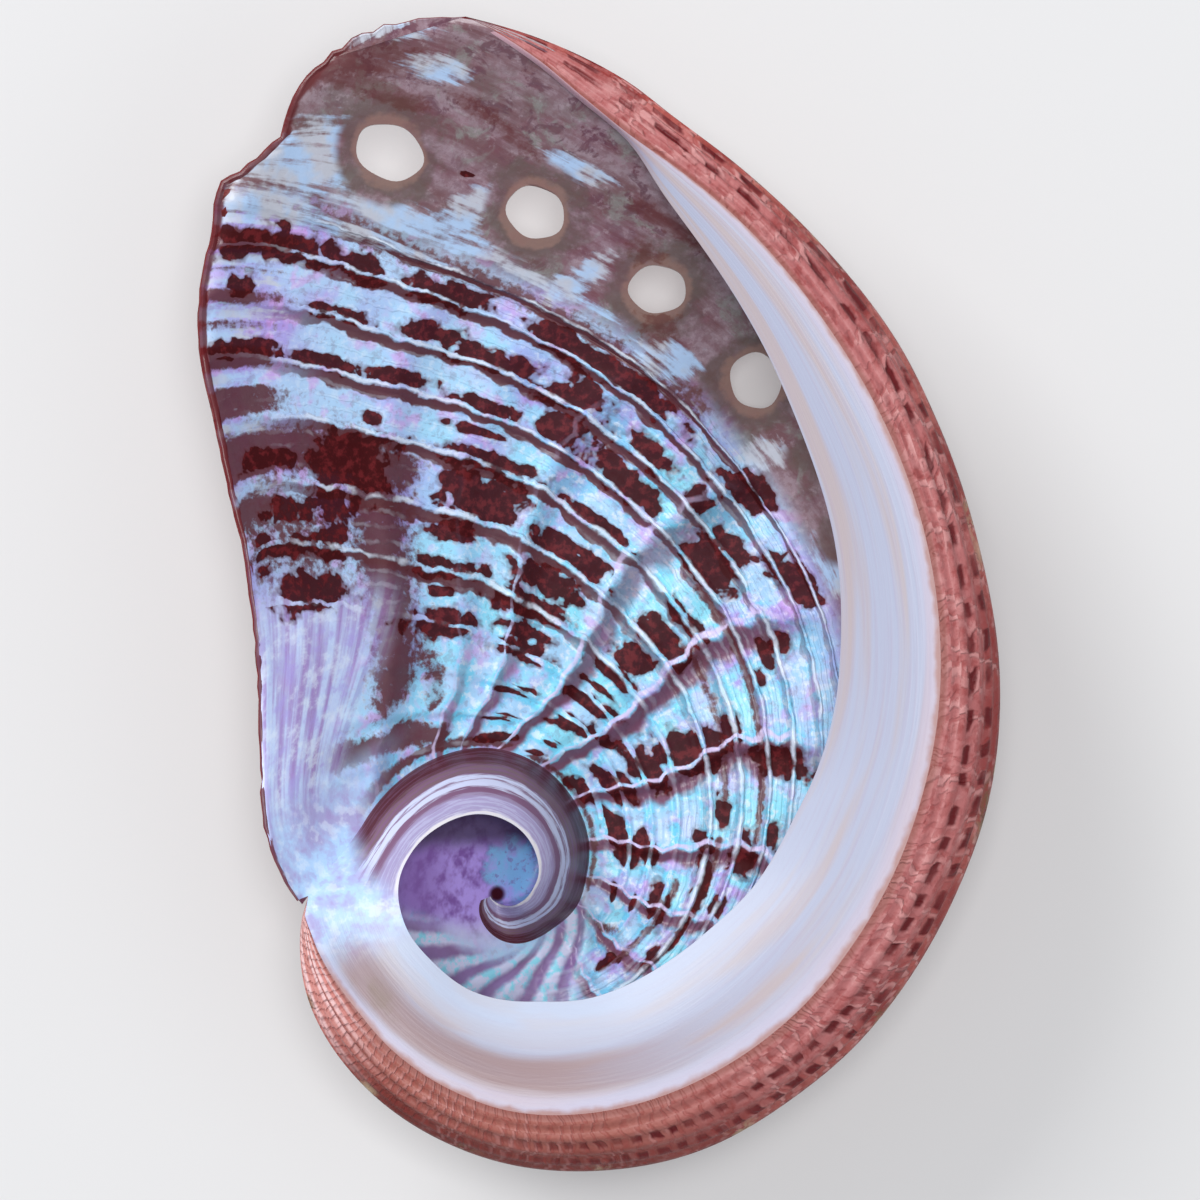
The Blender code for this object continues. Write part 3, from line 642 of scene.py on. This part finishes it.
def makeCutters():
    # slightly uneven plugs that open the holes straight down through the dome
    mesh = bmesh.new()
    for n, (hx, hy, halfX, halfY, turn, top) in enumerate(holes):
        low = -26.0
        made = bmesh.ops.create_cone(mesh, cap_ends=True, segments=40, radius1=1.0, radius2=1.06,
                                     depth=top - low)["verts"]
        for vert in made:
            around = math.atan2(vert.co.y, vert.co.x)
            uneven = 1 + 0.035 * math.sin(2 * around + n) + 0.025 * math.sin(5 * around + 2.3 * n)
            vert.co.x *= uneven * halfX
            vert.co.y *= uneven * halfY
            vert.co.z += (top + low) / 2
        bmesh.ops.rotate(mesh, verts=made, cent=(0, 0, 0), matrix=Matrix.Rotation(math.radians(turn), 3, "Z"))
        bmesh.ops.translate(mesh, verts=made, vec=(hx, hy, 0))
    bmesh.ops.scale(mesh, verts=mesh.verts, vec=(mm, mm, mm))
    bmesh.ops.recalc_face_normals(mesh, faces=mesh.faces)
    for face in mesh.faces:
        face.smooth = True
    data = bpy.data.meshes.new("hole_plugs")
    mesh.to_mesh(data)
    mesh.free()
    return bpy.data.objects.new("hole_plugs", data)


def cutHoles(piece):
    plugs = makeCutters()
    bpy.context.scene.collection.objects.link(plugs)
    cut = piece.modifiers.new("holes", "BOOLEAN")
    cut.operation = "DIFFERENCE"
    cut.solver = "EXACT"
    cut.object = plugs
    evaluated = piece.evaluated_get(bpy.context.evaluated_depsgraph_get())
    result = bpy.data.meshes.new_from_object(evaluated)
    result.name = "shell_visual"
    piece.modifiers.clear()
    old = piece.data
    piece.data = result
    bpy.data.meshes.remove(old)
    bpy.data.objects.remove(plugs)


def readCorners(data):
    corner = np.empty(len(data.loops), int)
    data.loops.foreach_get("vertex_index", corner)
    growth = np.empty(2 * len(data.loops))
    data.uv_layers["growth"].uv.foreach_get("vector", growth)
    slots = np.empty(len(data.polygons), int)
    data.polygons.foreach_get("material_index", slots)
    sizes = np.empty(len(data.polygons), int)
    data.polygons.foreach_get("loop_total", sizes)
    return corner, growth.reshape(-1, 2), np.repeat(slots, sizes)


def addMarks(data):
    # the marks and zones of the dish go on its vertices
    corner, growth, slots = readCorners(data)
    spots = np.empty(3 * len(data.vertices))
    data.vertices.foreach_get("co", spots)
    spots = spots.reshape(-1, 3) / mm
    inDish = slots == 0
    turn, along = np.zeros(len(data.vertices)), np.zeros(len(data.vertices))
    turn[corner[inDish]] = growth[inDish, 0] * 100
    along[corner[inDish]] = growth[inDish, 1]
    for name, values in (("marks", dishMarks(turn, along)),
                         ("zones", dishZones(turn, along, spots[:, 0], spots[:, 1]))):
        layer = data.color_attributes.new(name=name, type="FLOAT_COLOR", domain="POINT")
        layer.data.foreach_set("color", values.astype(np.float32).ravel())


def sharpenHoleEdges(data):
    mesh = bmesh.new()
    mesh.from_mesh(data)
    for edge in mesh.edges:
        if len(edge.link_faces) == 2 and edge.calc_face_angle() > math.radians(55):
            edge.smooth = False
    mesh.to_mesh(data)
    mesh.free()


def setInBox(data, box):
    # the finished shell fills the box of the solid, with its centre kept
    low, high = box
    spots = np.empty(3 * len(data.vertices))
    data.vertices.foreach_get("co", spots)
    spots = spots.reshape(-1, 3)
    least, most = spots.min(0), spots.max(0)
    target = np.array(low) + 1e-6, np.array(high) - 1e-6
    scale = (target[1] - target[0]) / (most - least)
    print("fit", (most - least) / mm, scale, (target[0] - least * scale) / mm)
    spots = target[0] + (spots - least) * scale
    data.vertices.foreach_set("co", spots.ravel())
    data.update()


# colours by their everyday numbers, 0 to 255
def tone(red, green, blue):
    parts = [c / 255 for c in (red, green, blue)]
    return tuple(c / 12.92 if c <= 0.04045 else ((c + 0.055) / 1.055) ** 2.4 for c in parts) + (1.0,)


class Field:
    # a value that varies over a surface; its sums, products and the like become Math nodes
    def __init__(self, socket):
        self.socket = socket

    def __add__(self, other):
        return calc("ADD", self, other)

    def __sub__(self, other):
        return calc("SUBTRACT", self, other)

    def __mul__(self, other):
        return calc("MULTIPLY", self, other)

    def __truediv__(self, other):
        return calc("DIVIDE", self, other)


def put(socket, value):
    if isinstance(value, Field):
        socket.id_data.links.new(value.socket, socket)
    else:
        socket.default_value = value


def newNode(kind, settings, *inputs):
    # the outputs of a node in the tree of its inputs; each input is a name or number and a value
    tree = next(value.socket.id_data for name, value in inputs if isinstance(value, Field))
    node = tree.nodes.new(kind)
    for name, setting in settings.items():
        setattr(node, name, setting)
    for name, value in inputs:
        put(node.inputs[name], value)
    return [Field(output) for output in node.outputs]


def calc(kind, *values):
    return newNode("ShaderNodeMath", {"operation": kind}, *enumerate(values))[0]


def step(value, low, high, bottom=0.0, top=1.0):
    # smooth rise from bottom to top as the value goes from low to high
    return newNode("ShaderNodeMapRange", {"interpolation_type": "SMOOTHSTEP"}, ("Value", value),
                   ("From Min", low), ("From Max", high), ("To Min", bottom), ("To Max", top))[0]


def mixed(share, a, b):
    # the numbers are those of the node's share and colours
    return newNode("ShaderNodeMix", {"data_type": "RGBA"}, (0, share), (6, a), (7, b))[2]


def layered(colour, *coats):
    # the coats, each with its share, one over the other
    for share, coat in coats:
        colour = mixed(share, colour, coat)
    return colour


def noise(place, scale, detail=3.0, rough=0.5, distortion=0.0):
    return newNode("ShaderNodeTexNoise", {}, ("Vector", place), ("Scale", scale), ("Detail", detail),
                   ("Roughness", rough), ("Distortion", distortion))[0]


def parted(vector):
    return newNode("ShaderNodeSeparateXYZ", {}, (0, vector))


def joined(x, y):
    return newNode("ShaderNodeCombineXYZ", {}, (0, x), (1, y))[0]


def surfaceMap(tree, name):
    # the two parts of a map of the surface
    node = tree.nodes.new("ShaderNodeUVMap")
    node.uv_map = name
    return parted(Field(node.outputs[0]))[:2]


def attribute(tree, name):
    # the four parts of a vertex attribute
    node = tree.nodes.new("ShaderNodeAttribute")
    node.attribute_name = name
    colour = newNode("ShaderNodeSeparateColor", {}, (0, Field(node.outputs["Color"])))
    return colour + [Field(node.outputs["Alpha"])]


def objectPlace(tree):
    return Field(tree.nodes.new("ShaderNodeTexCoord").outputs["Object"])


def lineAt(value, width):
    # 1 on each whole number of the value, 0 farther than the width from it
    away = calc("ABSOLUTE", calc("FRACT", value + 0.5) - 0.5)
    return step(away, width, width * 0.3)


def between(value, rise, full, fall, end):
    return step(value, rise, full) * step(value, end, fall)


def bumped(height, strength, distance):
    return newNode("ShaderNodeBump", {}, ("Strength", strength), ("Distance", distance),
                   ("Height", height))[0]


def startMaterial(name, rough, coat=0.0):
    material = bpy.data.materials.new(name)
    material.use_nodes = True
    surface = material.node_tree.nodes["Principled BSDF"]
    surface.inputs["Roughness"].default_value = rough
    surface.inputs["Coat Weight"].default_value = coat
    surface.inputs["Coat Roughness"].default_value = 0.2
    surface.inputs["Specular IOR Level"].default_value = 0.3
    return material, material.node_tree, surface


nacre = {
    "ice": tone(180, 212, 248), "lavender": tone(174, 154, 228), "cyan": tone(104, 214, 246),
    "glow": tone(150, 230, 250), "pink": tone(214, 160, 230), "mauve": tone(122, 74, 98),
    "brown": tone(94, 46, 52), "dark": tone(64, 12, 15), "spotRed": tone(108, 32, 36),
    "white": tone(228, 240, 255), "lumps": tone(222, 224, 252), "pearl": tone(172, 168, 214),
    "foldPaleAndHighlight": tone(222, 206, 244), "rim": tone(96, 26, 30), "frost": tone(198, 204, 216),
    "holeGrey": tone(148, 122, 128), "holeBrown": tone(112, 66, 66), "tan": tone(140, 104, 88),
    "olive": tone(96, 72, 58), "sage": tone(138, 138, 130), "holeLight": tone(172, 150, 156),
    "footBlue": tone(200, 216, 252), "footMauve": tone(166, 136, 198),
    "violet": tone(196, 168, 248), "violetDeep": tone(138, 98, 174), "spireBlue": tone(142, 206, 248),
    "spireShade": tone(72, 60, 78),
    "apex": (-7.14 * mm, -20.84 * mm)}


def fromApex(place):
    # millimetres from the apex, to the side and upward, and the square of the distance
    x, y = parted(place)[:2]
    x = (x - nacre["apex"][0]) / mm
    y = (y - nacre["apex"][1]) / mm
    return x, y, x * x + y * y


def spireColour(place, x, y, middle, fine):
    # deep violet with a blue patch on one side; painted shade under the rim darkens it toward the left, and
    # painted shade under the far ridge toward the top
    cloud = noise(place, 650.0, 3.0, 0.6)
    blueX = (x - 1.2) / 1.9
    blueY = (y - 1.7) / 2.1
    away = (cloud - 0.5) * 3.0 + (fine - 0.5) * 1.4 + blueX * blueX + blueY * blueY
    blue = mixed(step(fine, 0.47, 0.36, 0.0, 0.6), nacre["spireBlue"], nacre["violetDeep"])
    return layered(
        mixed(step(cloud, 0.34, 0.58), nacre["violetDeep"], nacre["violet"]),
        (step(cloud * 2.0 + x, -1.0, -4.6, 0.0, 0.75), nacre["violetDeep"]),
        (step(cloud * -2.0 + y, -2.2, -4.6, 0.0, 0.8), nacre["lumps"]),
        (step(away, 1.6, 0.3, 0.0, 0.95), blue),
        (step(cloud * 1.2 + y, 3.2, 4.9, 0.0, 0.85), nacre["spireShade"]),
        (step(middle, 0.5, 0.1), nacre["dark"]))


def holeZoneColour(place, turn, along, halo):
    # cloudy mauve and olive, with a tan ring round each hole
    cloud = noise(joined(turn * 11.0, along * 30.0), 1.0, 5.0, 0.62)
    reds = step(noise(place, 520.0, 4.0, 0.65, 0.6), 0.54, 0.62, 0.0, 0.85)
    mottle = noise(place, 1200.0, 4.0, 0.7)
    ragged = noise(place, 430.0, 4.0, 0.65) - 0.5
    return layered(
        mixed(step(cloud, 0.38, 0.6), nacre["holeBrown"], nacre["holeGrey"]),
        (step(noise(place, 240.0, 3.0), 0.5, 0.66, 0.0, 0.55), nacre["olive"]),
        (step(noise(place, 330.0, 4.0, 0.65, 0.8), 0.54, 0.66, 0.0, 0.65), nacre["sage"]),
        (reds * step(along, 0.78, 0.86, 0.35, 1.0), nacre["brown"]),
        (step(mottle, 0.52, 0.4, 0.0, 0.45), nacre["holeBrown"]),
        (step(mottle, 0.54, 0.68, 0.0, 0.45), nacre["holeLight"]),
        (step(ragged * 2.2 + halo, 0.35, 0.85, 0.0, 0.8), nacre["olive"]),
        (step(ragged * 0.35 + halo, 0.86, 0.97, 0.0, 0.85), nacre["tan"]))


def panelColour(place, cyan, fine, foldAt, cordAt):
    # icy blue, lavender, cyan and pink of the panels between the cords and folds
    cell = joined(calc("FLOOR", foldAt), calc("FLOOR", cordAt))
    chance = newNode("ShaderNodeTexWhiteNoise", {"noise_dimensions": "2D"}, ("Vector", cell))[0]
    hue = step(chance, 0.3, 0.8)
    inCell = between(calc("FRACT", foldAt), 0.28, 0.46, 0.86, 1.0)
    inCell = inCell * between(calc("FRACT", cordAt), 0.02, 0.16, 0.58, 0.76)
    broad = noise(place, 130.0, 3.0, 0.55)
    middle = noise(place, 420.0, 3.0, 0.6)
    bright = inCell * step(middle, 0.3, 0.5) * (cyan * 0.75 + 0.25)
    return layered(
        mixed(step(broad, 0.44, 0.64), nacre["ice"], nacre["lavender"]),
        (cyan * step(middle, 0.34, 0.54), nacre["cyan"]),
        (step(noise(place, 620.0, 2.0), 0.54, 0.68, 0.0, 0.6), nacre["pink"]),
        (bright * 0.85, mixed(hue, nacre["glow"], nacre["ice"])),
        (step(fine, 0.52, 0.66, 0.0, 0.7) * (cyan * 0.6 + 0.4), nacre["white"]),
        (step(fine, 0.46, 0.34, 0.0, 0.28), nacre["mauve"]))


def pearlColour(place):
    # lumpy pearl where the foot of the lip meets the shelf
    cloud = noise(place, 430.0, 3.0, 0.6)
    fleck = noise(place, 900.0, 3.0, 0.6)
    return layered(
        mixed(step(cloud, 0.36, 0.64), nacre["ice"], nacre["pearl"]),
        (step(fleck, 0.5, 0.64, 0.0, 0.4), nacre["white"]),
        (step(fleck, 0.48, 0.34, 0.0, 0.35), nacre["footMauve"]))


def makeNacre():
    material, tree, surface = startMaterial("shell_nacre", 0.34, 0.12)
    place = objectPlace(tree)
    fold, cord = surfaceMap(tree, "pattern")
    turn, along = surfaceMap(tree, "growth")
    dark, brown, cyan, white = attribute(tree, "marks")
    holeZone, foot, spire, halo = attribute(tree, "zones")
    sway = noise(place, 300.0, 4.0, 0.6) - 0.5
    fine = noise(place, 1500.0, 3.0, 0.6)
    grain = fine - 0.5
    patchy = noise(place, 380.0, 3.0)
    ripple = noise(place, 800.0, 2.0) - 0.5
    cordAt = ripple * 0.16 + (sway * 0.34 + cord)
    bow = calc("ABSOLUTE", calc("FRACT", cordAt) - 0.5)
    foldAt = bow * 0.16 + (sway * 0.2 + fold)
    cordWidth = turn * 0.07 + 0.055
    cordLine = lineAt(cordAt, cordWidth)
    fineLine = lineAt(cordAt * 4.0, cordWidth * 3.0)
    foldLine = lineAt(foldAt, patchy * 0.06 + 0.012)
    late = step(turn, 2.2, 1.8)
    inCords = between(along, 0.25, 0.31, 0.68, 0.71) * step(turn, 0.02, 0.12) * late
    lowCords = step(along, 0.3, 0.26) * step(turn, 0.35, 0.6) * late
    inFolds = step(turn, 0.25, 0.75) * step(along, 0.66, 0.52) * late
    cordPart, foldPart = calc("FRACT", cordAt), calc("FRACT", foldAt)
    valley = patchy * -0.5 + 0.98
    # painted shade: a brown band in the groove just under each cord
    groove = step(cordPart, valley, valley + 0.05) * step(cordPart, 0.98, 0.93)
    groove = groove * inCords * step(turn, 0.9, 0.45, 0.35, 1.0)
    # painted shade: mauve in the groove beside each fold
    foldGrooveShade = between(foldPart, 0.03, 0.08, patchy * 0.3 + 0.06, patchy * 0.3 + 0.18) * inFolds
    brownAt = step(grain * 1.1 + brown, 0.26, 0.6)
    # streaky foot of the lip, with pearl beside the notch
    streak = noise(joined(turn * 60.0, along * 4.0), 1.0, 4.0)
    blotch = noise(joined(turn * 26.0, along * 34.0), 1.0, 4.0, 0.65)
    footColour = layered(
        mixed(step(streak, 0.4, 0.62), nacre["footBlue"], nacre["footMauve"]),
        (step(blotch, 0.48, 0.66, 0.0, 0.65), nacre["white"]),
        (step(blotch, 0.48, 0.34, 0.0, 0.6), nacre["lavender"]))
    byNotch = step(along, 0.12, 0.04) * step(turn, 0.5, 0.25)
    # smeared pale patches
    smear = noise(joined(turn * 30.0, along * 90.0), 1.0, 4.0, 0.6) - 0.5
    strands = noise(joined(turn * 16.0, along * 170.0), 1.0, 3.0) - 0.5
    pales = step(grain * 0.7 + strands * 1.2 + smear * 1.8 + white, 0.42, 0.98, 0.0, 0.85)
    # radial lumps beside the spire: pale, with painted cyan highlights, and painted shade in mauve between them
    x, y, apart = fromApex(place)
    lumpy = lineAt(sway * 0.7 + turn * (100 / shell["lumpEvery"]), 0.4)
    lumpLight = mixed(step(fine, 0.45, 0.62), nacre["lumps"], nacre["glow"])
    lumpShade = mixed(patchy * 0.7, nacre["mauve"], nacre["lavender"])
    inLumps = between(turn, 1.72, 1.95, 2.75, 2.95) * step(sway * 14.0 + apart, 14.0, 27.0, 0.0, 0.95)
    # dark spots, cut by the pale cords
    knobs = noise(place, 900.0, 2.0, 0.45, 0.3) - 0.5
    edge = sway * 0.8 + knobs * 0.9 + dark - cordLine * 0.35 - foldLine * inFolds * 0.3
    stain = mixed(step(fine, 0.46, 0.66, 0.0, 0.8), nacre["dark"], nacre["spotRed"])
    # pale lines of the cords and folds, brightened as painted highlights along their crests
    lines = cordLine * calc("MAXIMUM", inCords, lowCords * 0.3) * 0.7
    fines = fineLine * inCords * 0.16 * step(edge, 0.45, 0.3)
    lines = calc("MAXIMUM", lines, fines) * step(noise(place, 520.0), 0.42, 0.6, 0.05, 1.0)
    beads = step(noise(place, 900.0, 2.0), 0.36, 0.56, 0.25, 0.85)
    # dark red skin that shows at the very edge of the lip
    edgeRed = step(patchy * 0.03 + turn, 0.024, 0.016, 0.0, 0.92) * step(along, 0.9, 0.87)
    colour = layered(
        panelColour(place, cyan, fine, foldAt, cordAt),
        # painted shade in the groove beside each fold
        (foldGrooveShade * step(turn, 0.3, 0.9, 0.9, 0.97), nacre["mauve"]),
        # painted shade in the groove under each cord
        (groove * 0.97, nacre["brown"]),
        (brownAt * 0.96, nacre["brown"]),
        (foot * 0.9, footColour),
        (byNotch, pearlColour(place)),
        (holeZone * 0.95, holeZoneColour(place, turn, along, halo)),
        (brownAt * holeZone * 0.55, nacre["brown"]),
        (pales * step(halo, 0.7, 0.4), mixed(step(patchy, 0.4, 0.6), nacre["ice"], nacre["frost"])),
        (spire, spireColour(place, x, y, apart, fine)),
        (inLumps, mixed(lumpy, lumpShade, lumpLight)),
        (step(edge, 0.34, 0.48, 0.0, 0.5), nacre["brown"]),
        (step(edge, 0.46, 0.53) * 0.97, stain),
        # painted highlights on the pale cords and folds
        (lines, nacre["white"]),
        (foldLine * inFolds * beads, nacre["foldPaleAndHighlight"]),
        (edgeRed, nacre["rim"]))
    put(surface.inputs["Base Color"], colour)
    put(surface.inputs["Roughness"], step(edge, 0.44, 0.54, 0.34, 0.6))
    put(surface.inputs["Coat Weight"], step(edge, 0.44, 0.54, 0.12, 0.0))
    put(surface.inputs["Specular IOR Level"], step(edge, 0.44, 0.54, 0.3, 0.1))
    height = fine * 0.35 + fineLine * inCords * 0.4 * step(edge, 0.5, 0.3) + cordLine * inCords * 0.4
    put(surface.inputs["Normal"], bumped(height, 0.7, 0.15 * mm))
    return material


shelf = {
    "satin": tone(170, 175, 196), "cream": tone(178, 166, 170), "pink": tone(166, 154, 176),
    "bright": tone(196, 208, 228), "rust": tone(148, 88, 72), "olive": tone(120, 104, 78),
    "tan": tone(150, 126, 128), "outerLight": tone(172, 160, 182),
    "crest": tone(232, 228, 232), "lavender": tone(168, 158, 198), "mauve": tone(128, 94, 124),
    "line": tone(206, 212, 240), "ridgeOlive": tone(124, 98, 108), "ridgeDark": tone(84, 38, 48),
    "rose": tone(186, 140, 150),
    "stain": (-14.4 * mm, -26.9 * mm, 20 * mm)}


def ridgeColour(across, thin):
    # bands of the ridge from its free crest outward; the white at the crest is a painted highlight on its rounded
    # top
    band = (thin - 0.5) * 0.16 + across
    strand = lineAt(band * 16.0, 0.3)
    return layered(
        mixed(step(band, 0.03, 0.09), shelf["crest"], shelf["lavender"]),
        (strand * 0.35, shelf["line"]),
        (step(band, 0.25, 0.36), shelf["mauve"]),
        (between(band, 0.41, 0.45, 0.5, 0.54), shelf["line"]),
        (between(band, 0.53, 0.56, 0.59, 0.63), shelf["line"]),
        (step(band, 0.6, 0.66), mixed(strand, shelf["ridgeOlive"], shelf["mauve"])),
        (step(band, 0.72, 0.82), mixed(strand * 0.3, shelf["ridgeDark"], shelf["mauve"])))


def makeShelf():
    material, tree, surface = startMaterial("shell_shelf", 0.38, 0.1)
    place = objectPlace(tree)
    length, across = surfaceMap(tree, "pattern")
    cloud = noise(joined(length * 1.6, across * 4.0), 1.0, 3.0, 0.5)
    thin = noise(joined(length * 5.0, across * 26.0), 1.0, 4.0, 0.6)
    band = (cloud - 0.5) * 0.22 + across
    low = step(length, 0.05, 0.8)
    innerBright = step(across, 0.6, 0.1) * step(length, -0.4, 0.6)
    wobble = (noise(place, 700.0, 3.0) - 0.5) * 0.1 + across
    start = across * 0.22 + 1.72
    far = newNode("ShaderNodeVectorMath", {"operation": "DISTANCE"}, (0, place), (1, shelf["stain"]))[1]
    uneven = noise(place, 500.0, 3.0) * (5 * mm) + far
    stain = step(uneven, 4.6 * mm, 2.8 * mm, 0.0, 0.45) * step(across, 0.45, 0.75)
    # the pearly lump comes where the ridge begins, then the ridge's bands
    colour = layered(
        mixed(step(cloud, 0.44, 0.62), shelf["satin"], shelf["cream"]),
        (step(thin, 0.44, 0.74, 0.0, 0.4), shelf["pink"]),
        (between(band, 0.38, 0.58, 0.78, 0.9) * low * 0.9, shelf["tan"]),
        (between(band, 0.16, 0.26, 0.34, 0.46) * low * 0.5, shelf["cream"]),
        (step(band, 0.8, 0.92, 0.0, 0.6), shelf["outerLight"]),
        (step(length, -0.76, -0.84, 0.0, 0.8), shelf["rose"]),
        (innerBright * 0.6, shelf["bright"]),
        (step(wobble, 0.93, 0.995, 0.0, 0.8), shelf["rust"]),
        (step(length, 1.5, 1.74), pearlColour(place)),
        (step(length, start, start + 0.16), ridgeColour(across, thin)),
        (stain, shelf["olive"]))
    put(surface.inputs["Base Color"], colour)
    put(surface.inputs["Normal"], bumped(thin, 0.3, 0.12 * mm))
    return material


outside = {
    "rose": tone(176, 106, 106), "coral": tone(176, 90, 82), "brick": tone(140, 48, 46),
    "deep": tone(98, 14, 20), "pale": tone(204, 148, 146), "cream": tone(196, 178, 146),
    "olive": tone(104, 88, 56), "worn": tone(206, 140, 132), "rib": tone(236, 208, 210),
    "seam": tone(128, 60, 50), "earth": tone(156, 92, 80), "shadedBrick": tone(106, 34, 26),
    "dashRows": [(1.57, 1.61, 1.66, 1.7), (1.32, 1.36, 1.41, 1.45), (1.02, 1.07, 1.15, 1.2),
                 (0.8, 0.84, 0.9, 0.94)]}


def makeRed():
    material, tree, surface = startMaterial("shell_outside", 0.5, 0.05)
    place = objectPlace(tree)
    turn, across = surfaceMap(tree, "growth")
    sway = noise(place, 320.0, 3.0) - 0.5
    rough = noise(place, 900.0, 3.0) - 0.5
    row = sway * 0.08 + across
    broad = noise(place, 160.0, 3.0)
    mottle = noise(place, 700.0, 4.0, 0.65)
    inward = broad * 0.3 + row
    hind = between(turn, 1.1, 1.6, 2.2, 2.5)
    low = step(turn, 2.1, 2.5) * step(across, 0.8, 1.2)
    ribs = lineAt(sway * 0.5 + across * 8.0, 0.34)
    # pale stepped edges of the growth scales
    stepped = calc("FLOOR", row * 9.0) / 9.0
    plate = stepped * 2.4 + turn * 37.0 + sway * 2.6 + rough * 0.6
    kept = (low * -0.6 + 1.0) * (hind * -0.5 + 1.0)
    plateEdge = lineAt(plate, 0.24) * step(noise(place, 330.0, 2.0), 0.38, 0.62) * kept
    shadeEdge = lineAt(plate + 0.26, 0.22)
    # rows of dark dashes along the coil
    dash = between(calc("FRACT", sway * 1.4 + turn * 28.5), 0.0, 0.08, 0.5, 0.66)
    dashes = None
    for dashRow in outside["dashRows"]:
        here = between(rough * 0.06 + row, *dashRow)
        dashes = calc("MAXIMUM", dashes, here) if dashes else here
    faint = step(noise(place, 210.0, 2.0), 0.34, 0.56, 0.45, 1.0)
    faint = faint * step(turn, 1.9, 1.4, 0.3, 1.0) * step(turn, 2.25, 1.9)
    # pale patches that follow the growth of the outside
    patch = lineAt(turn * 3.7 + sway * 0.5, 0.14) * step(across, 1.36, 1.14) * step(turn, 0.03, 0.1)
    patchColour = mixed(step(broad, 0.4, 0.6), outside["olive"], outside["cream"])
    # rose beside the shelf, coral on the wall, brick on the dome, and a line beside the shelf; on the hind part
    # of the wall the brick darkens toward its steep outer side as painted shade
    colour = layered(
        mixed(step(broad, 0.38, 0.62), outside["brick"], outside["coral"]),
        (step(inward, 1.38, 1.78) * 0.9, outside["rose"]),
        (step(mottle, 0.5, 0.36, 0.0, 0.55), outside["brick"]),
        (step(mottle, 0.56, 0.7, 0.0, 0.4), outside["pale"]),
        (hind * 0.85, mixed(step(inward, 1.45, 1.95), outside["shadedBrick"], outside["earth"])),
        (low * 0.85, outside["worn"]),
        (ribs * low * 0.75, outside["rib"]),
        (shadeEdge * 0.3, outside["brick"]),
        (plateEdge * 0.6, outside["pale"]),
        (dash * dashes * faint, outside["deep"]),
        (patch * step(mottle, 0.42, 0.56) * 0.85, patchColour),
        (step(row, 1.9, 1.97, 0.0, 0.8), outside["seam"]),
        (step(turn, 0.03, 0.012, 0.0, 0.8), outside["deep"]))
    put(surface.inputs["Base Color"], colour)
    height = plateEdge - shadeEdge * 0.4 - dash * dashes * 0.5 + rough * 1.6
    put(surface.inputs["Normal"], bumped(height, 0.7, 0.18 * mm))
    return material


shellPiece = bpy.data.objects.new("shell_visual", makeShellMesh())
bpy.context.scene.collection.objects.link(shellPiece)
print("stage: shell meshed")
cutHoles(shellPiece)
print("stage: holes open", len(shellPiece.data.polygons))
addMarks(shellPiece.data)
sharpenHoleEdges(shellPiece.data)
setInBox(shellPiece.data, cadBox)
for maker in (makeNacre, makeShelf, makeRed):
    shellPiece.data.materials.append(maker())
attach(shellPiece, "root")
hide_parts("shell")
print("stage: shell finished")

studio = {"floorSize": 1.6, "photoWidth": 82.8 * mm, "lens": 600.0,
          "sensor": 36.0, "aim": (0.035 * mm, -0.345 * mm)}


def makeFloor():
    mesh = bmesh.new()
    bmesh.ops.create_grid(mesh, x_segments=1, y_segments=1, size=studio["floorSize"] / 2)
    data = bpy.data.meshes.new("floor")
    mesh.to_mesh(data)
    mesh.free()
    floor = bpy.data.objects.new("floor", data)
    bpy.context.scene.collection.objects.link(floor)
    material, _, surface = startMaterial("floor_pale", 0.8)
    surface.inputs["Base Color"].default_value = tone(192, 192, 192)
    surface.inputs["Emission Color"].default_value = tone(226, 226, 228)
    surface.inputs["Emission Strength"].default_value = 0.22
    data.materials.append(material)


def addLight(name, size, power, spot, aim):
    lamp = bpy.data.lights.new(name, "AREA")
    lamp.size = size
    lamp.energy = power
    light = bpy.data.objects.new(name, lamp)
    light.location = spot
    light.rotation_euler = (Vector(aim) - Vector(spot)).to_track_quat("-Z", "Y").to_euler()
    bpy.context.scene.collection.objects.link(light)


makeFloor()
world = bpy.data.worlds.new("studio")
world.use_nodes = True
world.node_tree.nodes["Background"].inputs[0].default_value = tone(240, 244, 252)
world.node_tree.nodes["Background"].inputs[1].default_value = 0.40
bpy.context.scene.world = world
addLight("soft_key", 0.35, 3.6, (-0.38, 0.42, 0.5), (0, 0, 0.01))
addLight("soft_fill", 0.6, 0.8, (0.45, -0.25, 0.6), (0, 0, 0.01))
addLight("soft_top", 0.5, 22.0, (0.05, 0.1, 2.2), (0, 0, 0.01))
camera = bpy.data.cameras.new("camera")
camera.lens = studio["lens"]
camera.sensor_width = studio["sensor"]
camera.clip_end = 10.0
cameraPiece = bpy.data.objects.new("camera", camera)
distance = studio["photoWidth"] * studio["lens"] / studio["sensor"]
cameraPiece.location = (studio["aim"][0], studio["aim"][1], cadBox[1][2] + distance)
bpy.context.scene.collection.objects.link(cameraPiece)
bpy.context.scene.camera = cameraPiece
bpy.context.scene.view_settings.view_transform = "Standard"
print("stage: studio ready")
